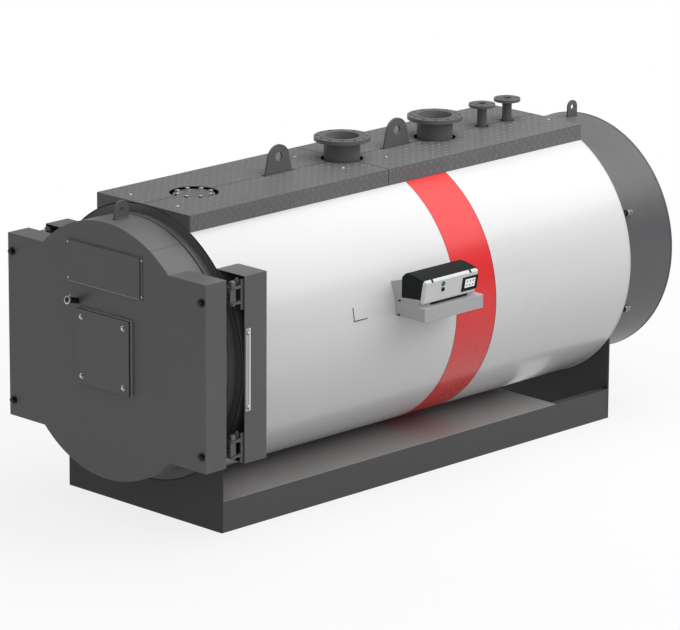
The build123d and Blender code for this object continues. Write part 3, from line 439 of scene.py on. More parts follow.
GRAPHITE = Paint("graphite_paint_looks", (0.118, 0.12, 0.124), 0.45, dust_and_top_light=0.06, edge=0.5)
SLOT_LOOKS: dict[str, Finish] = {
    "graphite_paint": GRAPHITE,
    "floor_panel_paint": Paint("floor_panel_looks", (0.36, 0.345, 0.34), 0.45, dust_and_top_light=0.06, edge=0.2,
                               spread=0.03),
    "white_casing": Paint("white_casing_looks", (0.83, 0.83, 0.835), 0.3, coat=0.25, spread=0.01,
                          peel=0.00002),
    "red_casing": Paint("red_casing_looks", (0.9, 0.02, 0.022), 0.3, coat=0.15, spread=0.02, peel=0.00002),
    "chequer_plate": Paint("chequer_plate_looks", (0.136, 0.138, 0.142), 0.45, dust_and_top_light=0.06, edge=0.4),
    "mineral_wool": Fibre("mineral_wool_looks", (0.52, 0.47, 0.26), 220.0, 0.002),
    "boiler_steel": Scaled("boiler_steel_looks", (0.075, 0.072, 0.07), (0.21, 0.1, 0.05), 0.45),
    "black_steel": Metal("black_steel_looks", (0.055, 0.056, 0.06), 0.42, stain_share=0.05),
    "zinc_bolts": Metal("zinc_looks", (0.66, 0.67, 0.68), 0.34, stain_share=0.08),
    "refractory": Cast("refractory_looks", (0.62, 0.55, 0.43)),
    "seal_rope": Fibre("seal_rope_looks", (0.74, 0.71, 0.64), 300.0, 0.0015),
    "tray_paint": Paint("tray_looks", (0.52, 0.52, 0.53), 0.36, edge=0.4, spread=0.02),
    "hood_plastic": Plastic("hood_looks", (0.022, 0.027, 0.023), 0.65, shine=0.07),
    "fascia_plastic": Plastic("fascia_looks", (0.87, 0.87, 0.88), 0.38),
}
WELD = Metal("weld_looks", (0.1, 0.1, 0.105), 0.45, metallic=0.3, stain_share=0.1)
# Tread bars lighter than the plate: worn bar tops and a painted highlight on them
TREAD_WEAR_AND_HIGHLIGHT = Paint("tread_wear_and_highlight_looks", (0.22, 0.222, 0.225), 0.4, dust_and_top_light=0.06)
BRASS = Metal("brass_looks", (0.72, 0.5, 0.2), 0.3, stain_share=0.2)
GLASS = Plastic("sight_glass_looks", (0.012, 0.014, 0.016), 0.08, grain=0.00001)
SCREEN = Lit("screen_looks", (0.86, 0.87, 0.86), 0.35)
TEAL = Lit("teal_looks", (0.02, 0.15, 0.16), 0.1)
INK = Plastic("icon_looks", (0.04, 0.06, 0.05), 0.4)
# Darker copies of the graphite paint: painted shade on the base's end plates and rails
SHADED = Paint("shaded_base_looks", (0.03, 0.031, 0.033), 0.62, edge=0.4)
RAIL_PAINTED_SHADE = Paint("rail_painted_shade_looks", (0.066, 0.067, 0.07), 0.48, dust_and_top_light=0.03, edge=0.4)
EDGE_HIGHLIGHT = Paint("edge_highlight_looks", (0.42, 0.42, 0.43), 0.4, spread=0.03)
# Pale paint that is a painted highlight: the burner frame's lit edges and the name panel's lower edge
LINER = Paint("bore_looks", (0.2, 0.2, 0.205), 0.5)
# Black rubber look for seals, washers and clips, and for dark pieces of painted shade and shadow
GASKET_AND_SHADE = Plastic("gasket_and_shade_looks", (0.012, 0.012, 0.013), 0.8)
JOINT = Plastic("joint_looks", (0.16, 0.02, 0.02), 0.5)
BEZEL = Plastic("display_frame_looks", (0.006, 0.006, 0.007), 0.4, shine=0.1)
FLANGE_FACE = Paint("flange_face_looks", (0.12, 0.122, 0.125), 0.4, dust_and_top_light=0.03)
TUBE_WELD = Scaled("tube_weld_looks", (0.13, 0.125, 0.12), (0.2, 0.1, 0.06), 0.25)
STRIP = Metal("strip_looks", (0.46, 0.46, 0.47), 0.5, metallic=0.6, stain_share=0.05)
BRIGHT_WELD = Metal("bright_weld_looks", (0.42, 0.42, 0.43), 0.4, metallic=0.6, stain_share=0.05)
# Near-white paint on the clamp stud tips: a painted highlight
TIP_HIGHLIGHT = Metal("tip_highlight_looks", (0.85, 0.86, 0.87), 0.5, metallic=0.2, stain_share=0.02)
PIN_STEEL = Metal("pin_looks", (0.16, 0.165, 0.175), 0.4, metallic=0.5, stain_share=0.1)
DULL_ZINC = Metal("dull_zinc_looks", (0.3, 0.3, 0.31), 0.45, stain_share=0.1)
NODE_LOOKS: dict[str, Finish] = {
    "base_end_plates": SHADED,
    "base_rails": RAIL_PAINTED_SHADE,
    "burner_frame": EDGE_HIGHLIGHT,
    "burner_bolts": DULL_ZINC,
    "closing_strip": STRIP,
    "hinge_pins": PIN_STEEL,
    # extra dust and painted light on the smoke box's top
    "smoke_box_shell": Paint("smoke_box_looks", (0.1, 0.102, 0.106), 0.38, dust_and_top_light=0.17, edge=0.4),
}


@cache
def looks_of(finish: Finish) -> bpy.types.Material:
    """Returns: the material of a finish, built once."""
    return finish.build()


# Shapes


RIGHT = Vector((1, 0, 0))
REAR = Vector((0, 1, 0))
UP = Vector((0, 0, 1))
BEAD_TURNS = [math.radians(turn) for turn in range(0, 360, 45)]
# How far a thread end starts inside its nut
BITE = 0.0005
# A square's diagonal for a side of 1
DIAGONAL = 1.414


@dataclass(frozen=True)
class Box:
    """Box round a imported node."""

    low: Vector
    high: Vector

    @classmethod
    def of(cls, node: str) -> "Box":
        """Returns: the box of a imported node."""
        return cls(*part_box(node))

    @property
    def middle(self) -> Vector:
        """Returns: the point in the middle."""
        return (self.low + self.high) / 2

    @property
    def size(self) -> Vector:
        """Returns: the lengths along X, Y and Z."""
        return self.high - self.low

    @property
    def top(self) -> Vector:
        """Returns: the middle of the top face."""
        return Vector((self.middle.x, self.middle.y, self.high.z))

    def at_y(self, y: float) -> Vector:
        """Returns: the middle, shifted to this Y."""
        return Vector((self.middle.x, y, self.middle.z))


def on_circle(centre: Vector, radius: float, angle: float, first: Vector = RIGHT,
              second: Vector = UP) -> Vector:
    """Returns: the point at an angle in degrees on a circle in the plane of two directions."""
    turn = math.radians(angle)
    return centre + first * (radius * math.cos(turn)) + second * (radius * math.sin(turn))


def corners(middle: Vector, across: float, up: float) -> list[Vector]:
    """Returns: four points round a middle, so far left and right, down and up."""
    return [middle + RIGHT * x + UP * z for x in (-across, across) for z in (-up, up)]


def safety_tops() -> list[Vector]:
    """Returns: the middle of the top face of each safety nozzle."""
    box = Box.of("safety_nozzles")
    return [Vector((0, y, box.high.z)) for y in (box.low.y + box.size.x / 2, box.high.y - box.size.x / 2)]


@dataclass(frozen=True)
class Place:
    """A point with three directions at right angles: across, up and out."""

    origin: Vector
    across: Vector
    up: Vector
    out: Vector

    @classmethod
    def facing(cls, origin: Sequence[float], out: Vector, up: Vector = UP) -> "Place":
        """Makes a place from the direction that it faces.

        Args:
            origin: its point.
            out: the direction.
            up: rough up; the rear stands in where it faces up or down.
        Returns:
            The place.
        """
        face = out.normalized()
        rough = REAR if abs(face.dot(up.normalized())) > 0.95 else up
        across = rough.cross(face).normalized()
        return cls(Vector(origin), across, face.cross(across).normalized(), face)

    def at(self, across: float, up: float, out: float = 0.0) -> Vector:
        """Returns: the point that lies so far across, up and out."""
        return self.origin + self.across * across + self.up * up + self.out * out

    def moved(self, across: float, up: float, out: float = 0.0) -> "Place":
        """Returns: the same directions at another point."""
        return Place(self.at(across, up, out), self.across, self.up, self.out)

    def turned(self, angle: float) -> "Place":
        """Args: angle in degrees about the out direction. Returns: the turned place."""
        turn = Matrix.Rotation(math.radians(angle), 3, self.out)
        return Place(self.origin, turn @ self.across, turn @ self.up, self.out)


@dataclass
class Shape:
    """Points and faces of one piece, gathered in the frame of the model."""

    points: list[Vector] = field(default_factory=list)
    faces: list[tuple[int, ...]] = field(default_factory=list)

    def add(self, points: Iterable[Vector], faces: Iterable[Sequence[int]]) -> None:
        """Adds a patch.

        Args:
            points: its points.
            faces: its faces, which count its own points from 0.
        """
        first = len(self.points)
        self.points.extend(points)
        self.faces.extend(tuple(first + index for index in face) for face in faces)

    def stacked(self, rings: Sequence[Sequence[Vector]], closed: bool = True) -> None:
        """Joins rings of points one after another.

        Args:
            rings: the rings, all of one count.
            closed: whether the first and last get a face.
        """
        count = len(rings[0])
        points = [point for ring in rings for point in ring]
        faces: list[tuple[int, ...]] = []
        for step in range(len(rings) - 1):
            for index in range(count):
                after = (index + 1) % count
                low, high = step * count, (step + 1) * count
                faces.append((low + index, low + after, high + after, high + index))
        if closed:
            faces.append(tuple(reversed(range(count))))
            faces.append(tuple((len(rings) - 1) * count + index for index in range(count)))
        self.add(points, faces)

    def lathe(self, base: Place, profile: Pairs, sides: int, hollow: bool = False) -> None:
        """Turns a profile about a place.

        Args:
            base: the place.
            profile: pairs of radius and way out.
            sides: how many sides the round has.
            hollow: whether the last pair joins the first.
        """
        turns = [2 * math.pi * (step + 0.5) / sides for step in range(sides)]
        pairs = [*profile, profile[0]] if hollow else list(profile)
        rings = [[base.at(radius * math.cos(turn), radius * math.sin(turn), out) for turn in turns]
                 for radius, out in pairs]
        self.stacked(rings, closed=not hollow)

    def plate(self, base: Place, outline: Pairs, depth: float, edge: float = 0.0) -> None:
        """Pushes a convex outline out.

        Args:
            base: place of its middle.
            outline: its points, across and up.
            depth: how far it goes out.
            edge: how far its front edge is drawn in.
        """
        mid_x, mid_y = (sum(parts) / len(outline) for parts in zip(*outline))
        levels = [(0.0, 0.0), (depth - edge, 0.0)] + ([(depth, edge)] if edge else [])
        rings = []
        for out, inset in levels:
            ring = []
            for x, y in outline:
                share = 1 - inset * DIAGONAL / math.hypot(x - mid_x, y - mid_y)
                ring.append(base.at(mid_x + (x - mid_x) * share, mid_y + (y - mid_y) * share, out))
            rings.append(ring)
        self.stacked(rings)

    def bead(self, path: Sequence[Vector], normals: Sequence[Vector], radius: float, ripple: float) -> None:
        """Lays a rippled weld bead.

        Args:
            path: its points.
            normals: direction of the surface at each point.
            radius: its radius.
            ripple: distance from ripple to ripple.
        """
        rings = []
        run = 0.0
        for index, point in enumerate(path):
            before = path[max(index - 1, 0)]
            after = path[min(index + 1, len(path) - 1)]
            forward = (after - before).normalized()
            run += (point - before).length
            side = forward.cross(normals[index]).normalized()
            swell = radius * (1 + 0.16 * math.sin(2 * math.pi * run / ripple))
            rings.append([point + side * (swell * math.cos(turn)) + normals[index] * (swell * math.sin(turn))
                          for turn in BEAD_TURNS])
        self.stacked(rings)

    def line_bead(self, start: Vector, end: Vector, count: int, normal: Vector, radius: float,
                  ripple: float = 0.012) -> None:
        """Lays a straight weld bead of count steps."""
        path = [start + (end - start) * (index / count) for index in range(count + 1)]
        self.bead(path, [normal.normalized()] * len(path), radius, ripple)

    def ring_bead(self, base: Place, ring: float, radius: float, step: float = 0.006, ripple: float = 0.012,
                  faced: bool = False) -> None:
        """Lays a round weld bead.

        Args:
            base: its middle and plane.
            ring: radius of the round.
            radius: radius of the bead.
            step: distance from point to point.
            ripple: distance from ripple to ripple.
            faced: whether it lies on a flat face, not on a rim.
        """
        count = max(3, int(ring * 2 * math.pi / step))
        path = [on_circle(base.origin, ring, 360 * index / count, base.across, base.up)
                for index in range(count + 1)]
        normals = [base.out if faced else (point - base.origin).normalized() for point in path]
        self.bead(path, normals, radius, ripple)

    def lozenge(self, base: Place, length: float, width: float, height: float) -> None:
        """Raises one pointed tread bar.

        Args:
            base: its middle; it runs across.
            length: its length.
            width: its width.
            height: its height.
        """
        outline = [(-0.5, 0.0), (-0.24, -0.42), (0.24, -0.42), (0.5, 0.0), (0.24, 0.42), (-0.24, 0.42)]
        low = [base.at(x * length, y * width, 0.0) for x, y in outline]
        high = [base.at(x * length * 0.78, y * width * 0.5, height) for x, y in outline]
        self.stacked([low, high])

    def bolt(self, base: Place, head: float, height: float, shank: float = 0.0) -> None:
        """Sets a six-sided bolt head with its chamfer.

        Args:
            base: its seat.
            head: radius over its corners.
            height: its height.
            shank: radius of the thread end, or 0 for none.
        """
        self.lathe(base, [(head, 0.0), (head, height - 0.12 * head), (head * 0.86, height)], 6)
        if shank:
            profile = [(shank, height - 0.001)]
            for turn in range(3):
                profile += [(shank * 0.9, height + shank * (0.2 * turn + 0.08)),
                            (shank, height + shank * (0.2 * turn + 0.2))]
            self.lathe(base, [*profile, (shank * 0.8, height + shank * 0.75)], 14)

    def screw(self, base: Place, radius: float) -> None:
        """Sets a domed screw head with a small recess on a thin washer.

        Args:
            base: its seat.
            radius: radius of the head.
        """
        self.lathe(base, [(radius * 1.35, 0.0), (radius * 1.3, radius * 0.16)], 20)
        dome = [(radius * math.cos(turn), radius * (0.16 + 0.5 * math.sin(turn)))
                for turn in (0.0, 0.35, 0.7, 1.05)]
        self.lathe(base, [*dome, (radius * 0.3, radius * 0.6), (radius * 0.2, radius * 0.45)], 16)

    def piece(self, name: str, slot: str, finish: Finish | None = None, body: Body = Body.BOILER,
              smooth: bool = True) -> None:
        """Makes the gathered shape into one object that rides on a body.

        Args:
            name: name of the piece.
            slot: material slot of the record.
            finish: its looks, if they differ from the slot's own.
            body: body that it moves with.
            smooth: whether its shallow edges are shaded smooth.
        """
        mesh = bpy.data.meshes.new(name)
        mesh.from_pydata([tuple(point) for point in self.points], [], self.faces)
        mesh.validate()
        mesh.materials.append(looks_of(finish or SLOT_LOOKS[slot]))
        if smooth:
            mesh.shade_smooth()
            mesh.set_sharp_from_angle(angle=math.radians(35))
        made = bpy.data.objects.new(name, mesh)
        bpy.context.scene.collection.objects.link(made)
        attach(made, body.value)
        LOG.info("%s: %d faces on %s", name, len(mesh.polygons), body.value)


def rectangle(width: float, height: float, corner: float = 0.0) -> Pairs:
    """Draws a rectangle about 0.

    Args:
        width: its width.
        height: its height.
        corner: radius of its corners.
    Returns:
        Its outline, counter-clockwise.
    """
    half_x, half_y = width / 2, height / 2
    if not corner:
        return [(-half_x, -half_y), (half_x, -half_y), (half_x, half_y), (-half_x, half_y)]
    outline = []
    for x, y, start in ((1, -1, 270), (1, 1, 0), (-1, 1, 90), (-1, -1, 180)):
        for turn in (0, 30, 60, 90):
            angle = math.radians(start + turn)
            outline.append((x * (half_x - corner) + corner * math.cos(angle),
                            y * (half_y - corner) + corner * math.sin(angle)))
    return outline


@dataclass(frozen=True)
class Layout:
    """Main places of the boiler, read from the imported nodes, in metres."""

    axis_height: float
    casing_radius: float
    front: float
    casing_rear: float
    deck_top: float
    deck_half_width: float
    door_front: float
    door_back: float
    rim_radius: float

    @classmethod
    def read(cls) -> "Layout":
        """Returns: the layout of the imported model."""
        casing, deck, door = Box.of("casing_front"), Box.of("deck_front_right"), Box.of("door_shell")
        axis_height = Box.of("pressure_vessel").middle.z
        return cls(
            axis_height=axis_height,
            casing_radius=casing.high.x,
            front=casing.low.y,
            casing_rear=Box.of("casing_rear").high.y,
            deck_top=deck.high.z,
            deck_half_width=deck.high.x,
            door_front=door.low.y,
            door_back=door.high.y,
            rim_radius=door.high.z - axis_height,
        )

    def axis(self, y: float) -> Vector:
        """Returns: the point of the boiler's axis at this Y."""
        return Vector((0.0, y, self.axis_height))


# Sub-assemblies


@dataclass
class Deck:
    """Tread bars, seams and screws of the service deck, and painted shade at the open ends of the lug slots.
    """

    layout: Layout
    pitch: float = 0.0285
    bar: tuple[float, float, float] = (0.035, 0.0095, 0.0026)
    keep_off_share: float = 0.6
    top_turn: float = 45.0
    skirt_turn: float = 59.0
    skirt_rows: int = 3
    skirt_start: float = 0.022
    hole_radii: tuple[tuple[str, float], ...] = (
        ("inspection_cover", 0.148), ("flow_nozzle", 0.131), ("return_nozzle", 0.131))
    safety_radius: float = 0.046
    lug_length: float = 0.216
    lug_clear: float = 0.014
    slot_gap: float = 0.018
    slot_shade_width: float = 0.032
    slot_shade_height: float = 0.0006
    seam_width: float = 0.004
    seam_height: float = 0.0005
    seam_short: float = 0.002
    screw_radius: float = 0.0085
    screw_places: Pairs = ((0.179, 0.104), (-0.21, 0.097), (-0.214, 1.438), (0.183, 1.449),
                           (0.165, 1.833), (-0.2, 1.83), (0.169, 3.272), (-0.2, 3.27))
    holes: list[tuple[Vector, float]] = field(default_factory=list)
    slots: list[Pair] = field(default_factory=list)

    def is_clear(self, x: float, y: float) -> bool:
        """Tells whether a tread bar fits.

        Args:
            x: its place across.
            y: its place along.
        Returns:
            True if it keeps clear of every hole and slot.
        """
        reach = self.bar[0] / 2 * self.keep_off_share
        on_hole = any(math.hypot(x - centre.x, y - centre.y) < radius + reach
                      for centre, radius in self.holes)
        in_slot = any(low - reach < y < high + reach for low, high in self.slots)
        return not (on_hole or (in_slot and abs(x) < self.lug_clear + reach))

    def treads(self, node: str) -> None:
        """Makes the tread bars on the top and down the skirt of one panel.

        Args:
            node: the panel's node.
        """
        box = Box.of(node)
        side = 1 if box.middle.x > 0 else -1
        shape = Shape()
        columns, rows = round(box.size.y / self.pitch), round(box.size.x / self.pitch)
        for column in range(columns):
            y = box.low.y + (column + 0.5) * box.size.y / columns
            for row in range(column % 2, rows, 2):
                x = box.low.x + (row + 0.5) * box.size.x / rows
                if self.is_clear(x, y):
                    top = Place.facing((x, y, box.high.z), UP)
                    shape.lozenge(top.turned(self.top_turn if row % 2 else -self.top_turn), *self.bar)
            for row in range(column % 2, self.skirt_rows, 2):
                z = box.high.z - self.skirt_start - row * self.pitch
                skirt = Place.facing((side * self.layout.deck_half_width, y, z), RIGHT * side)
                turn = side * self.skirt_turn
                shape.lozenge(skirt.turned(-turn if row % 2 else turn), *self.bar)
        shape.piece(f"tread_{node}", "chequer_plate", TREAD_WEAR_AND_HIGHLIGHT)

    def seams(self) -> None:
        """Makes the dark lines where the panels meet, and dark patches of painted shade at the open ends of
        the lug slots.
        """
        shape = Shape()
        box = Box.of("deck_front_left")
        top, half = box.high.z, self.layout.deck_half_width
        end = Box.of("deck_rear_left").high.y
        blocked = [(centre.y - radius, centre.y + radius) for centre, radius in self.holes]
        start = box.low.y
        for near, far in sorted(blocked + self.slots) + [(end, end)]:
            if near - start > self.seam_width:
                place = Place.facing((0, (start + near) / 2, top), UP)
                shape.plate(place, rectangle(self.seam_width, near - start), self.seam_height)
            start = max(start, far)
        for side in (-1, 1):
            across = Place.facing((side * half / 2, box.high.y, top), UP)
            shape.plate(across, rectangle(half, self.seam_width), self.seam_height)
            down = Place.facing((side * half, box.high.y, box.middle.z), RIGHT * side)
            shape.plate(down, rectangle(self.seam_width, box.size.z - self.seam_short), self.seam_height)
        # painted shade: dark patches that stand for the open ends of the lug slots
        for near, far in self.slots:
            for y in (near + self.slot_gap / 2, far - self.slot_gap / 2):
                shape.plate(Place.facing((0, y, top), UP),
                            rectangle(self.slot_shade_width, self.slot_gap - self.seam_width), self.slot_shade_height)
        shape.piece("deck_seams_and_slot_shade", "black_steel", GASKET_AND_SHADE)

    def build(self) -> None:
        """Makes every piece of the deck."""
        self.holes = [(Box.of(node).middle, radius) for node, radius in self.hole_radii]
        self.holes += [(top, self.safety_radius) for top in safety_tops()]
        lugs = Box.of("lifting_lugs")
        reach = self.lug_length + self.slot_gap
        self.slots = [(lugs.low.y - self.slot_gap, lugs.low.y + reach),
                      (lugs.high.y - reach, lugs.high.y + self.slot_gap)]
        for node in ("deck_front_left", "deck_front_right", "deck_rear_left", "deck_rear_right"):
            self.treads(node)
        self.seams()
        screws = Shape()
        for x, y in self.screw_places:
            place = Place.facing((x, self.layout.front + y, self.layout.deck_top), UP)
            screws.screw(place, self.screw_radius)
        screws.piece("deck_screws", "zinc_bolts")


@dataclass
class Nozzles:
    """Raised faces, weld beads and machined bores of the flanged nozzles."""

    sunk: float = 0.001
    face_height: float = 0.0018
    groove_floor: float = 0.001
    groove_half: float = 0.0012
    groove_shares: tuple[float, ...] = (0.2, 0.38, 0.56, 0.74)
    face: Pair = (0.1037, 0.131)
    safety_face: Pair = (0.0273, 0.051)
    weld_drop: float = 0.0255
    weld_ring: float = 0.1105
    weld_radius: float = 0.0045
    safety_weld_drop: float = 0.019
    safety_weld_ring: float = 0.0308
    safety_weld_radius: float = 0.0032
    bore: Pairs = ((0.1035, -0.001), (0.1035, -0.16), (0.1036, -0.16), (0.1036, -0.001))

    def raised_face(self, shape: Shape, top: Vector, inner: float, outer: float) -> None:
        """Adds a raised face with machined grooves round a bore.

        Args:
            shape: what it is added to.
            top: middle of the flange's top.
            inner: radius of the bore.
            outer: radius of the face.
        """
        height = self.face_height
        profile = [(inner, -self.sunk), (outer, -self.sunk), (outer, height)]
        for share in self.groove_shares:
            radius = outer - (outer - inner) * share
            profile += [(radius + self.groove_half, height), (radius, self.groove_floor),
                        (radius - self.groove_half, height)]
        shape.lathe(Place.facing(top, UP), [*profile, (inner, height)], 64, hollow=True)

    def build(self) -> None:
        """Makes every piece of the nozzles."""
        faces, welds, bores = Shape(), Shape(), Shape()
        for node in ("flow_nozzle", "return_nozzle"):
            top = Box.of(node).top
            self.raised_face(faces, top, *self.face)
            welds.ring_bead(Place.facing(top - UP * self.weld_drop, UP), self.weld_ring, self.weld_radius)
            bores.lathe(Place.facing(top, UP), self.bore, 64, hollow=True)
        for top in safety_tops():
            self.raised_face(faces, top, *self.safety_face)
            welds.ring_bead(Place.facing(top - UP * self.safety_weld_drop, UP), self.safety_weld_ring,
                            self.safety_weld_radius, 0.004, 0.008)
        faces.piece("flange_raised_faces", "graphite_paint", FLANGE_FACE)
        bores.piece("nozzle_bores", "graphite_paint", LINER)
        welds.piece("nozzle_welds", "graphite_paint", WELD)


@dataclass
class Hatch:
    """Washers and thread ends of the inspection cover's bolts."""

    ring: float = 0.105
    bolts: int = 8
    washer: Pairs = ((0.0165, 0.0), (0.0192, 0.0), (0.0192, 0.0018), (0.0158, 0.0018))
    thread_end: Pairs = ((0.008, 0.0), (0.0074, 0.0012), (0.008, 0.0024), (0.0064, 0.0036))

    def build(self) -> None:
        """Makes the washers and thread ends of the inspection cover."""
        bolts = Box.of("inspection_bolts")
        cover_top = Box.of("inspection_cover").high.z
        shape = Shape()
        for step in range(self.bolts):
            x, y, _ = on_circle(bolts.middle, self.ring, (step + 0.5) * 360 / self.bolts, RIGHT, REAR)
            shape.lathe(Place.facing((x, y, cover_top), UP), self.washer, 24, hollow=True)
            shape.lathe(Place.facing((x, y, bolts.high.z - BITE), UP), self.thread_end, 14)
        shape.piece("inspection_bolt_washers", "zinc_bolts")


@dataclass
class Lugs:
    """Weld beads at the feet of the lugs on the smoke box and the door."""

    rise: float = 0.002
    radius: float = 0.004
    step: float = 0.006

    def build(self) -> None:
        """Lays a bead along both sides of each lug's foot."""
        for node, body in (("smoke_box_lug", Body.BOILER), ("door_lug", Body.DOOR)):
            box = Box.of(node)
            shape = Shape()
            for side, x in ((1, box.high.x), (-1, box.low.x)):
                start = Vector((x, box.low.y, box.low.z + self.rise))
                shape.line_bead(start, start + REAR * box.size.y, int(box.size.y / self.step),
                                RIGHT * side + UP, self.radius)
            shape.piece(f"{node}_weld", "graphite_paint", WELD, body)


@dataclass
class Casing:
    """Joints, trims and seal of the round casing, and a painted shadow at two edges of the rating plate."""

    layout: Layout
    sunk: float = 0.001
    joint_width: float = 0.003
    joint_height: float = 0.0006
    trim_width: float = 0.007
    trim_inset: float = 0.0005
    trim_height: float = 0.0022
    seal_width: float = 0.0035
    seal_front: float = 0.0012
    seal_sunk: float = 0.0052
    seal_height: float = 0.0008
    foot_gap: float = 0.15
    plate_shadow_width: float = 0.0045
    plate_shadow_height: float = 0.0012
    plate_shadow_places: Pairs = ((0.0022, 0.003), (0.002, 0.0012))

    def hoop(self, shape: Shape, y: float, width: float, sunk: float, height: float) -> None:
        """Adds a flat hoop round the casing between the two feet of the deck.

        Args:
            shape: what it is added to.
            y: where it starts.
            width: its width.
            sunk: how far it goes in.
            height: how far it stands out.
        """
        radius = self.layout.casing_radius
        half = math.degrees(math.asin(self.layout.deck_half_width / radius)) + self.foot_gap
        section = ((y, -sunk), (y, height), (y + width, height), (y + width, -sunk))
        rings = []
        for step in range(181):
            turn = 90 + half + (360 - 2 * half) * step / 180
            rings.append([on_circle(self.layout.axis(along), radius + out, turn) for along, out in section])
        shape.stacked(rings)

    def plate_shadow(self) -> None:
        """Makes dark strips of painted shadow along the rating plate's near end and its foot."""
        box = Box.of("rating_plate")
        centre = self.layout.axis(box.middle.y)
        out = (box.middle - centre).normalized()
        tall = math.hypot(box.size.x, box.size.z)
        surface = centre + out * (self.layout.casing_radius + self.joint_height)
        face = Place(surface, REAR, out.cross(REAR), out)
        (end_out, end_drop), (foot_shift, foot_out) = self.plate_shadow_places
        # painted shadow: dark strips where the raised plate shades the casing
        painted_shadow = Shape()
        painted_shadow.plate(face.moved(-box.size.y / 2 - end_out, -end_drop), rectangle(self.plate_shadow_width, tall),
                    self.plate_shadow_height)
        painted_shadow.plate(face.moved(-foot_shift, -tall / 2 - foot_out), rectangle(box.size.y, self.plate_shadow_width),
                    self.plate_shadow_height)
        painted_shadow.piece("rating_plate_painted_shadow", "black_steel", GASKET_AND_SHADE)

    def build(self) -> None:
        """Makes the casing's joints, seal and edge trim."""
        joints, seal, trim = Shape(), Shape(), Shape()
        band = Box.of("casing_band")
        for y in (band.low.y, band.high.y):
            self.hoop(joints, y - self.joint_width / 2, self.joint_width, self.sunk, self.joint_height)
        joints.piece("casing_joints", "graphite_paint", JOINT)
        self.hoop(seal, self.layout.front - self.seal_front, self.seal_width,
                  self.seal_sunk, self.seal_height)
        seal.piece("casing_front_seal", "black_steel", GASKET_AND_SHADE)
        self.plate_shadow()
        self.hoop(trim, self.layout.casing_rear - self.trim_width - self.trim_inset, self.trim_width,
                  self.sunk, self.trim_height)
        trim.piece("casing_edge_trim", "white_casing")


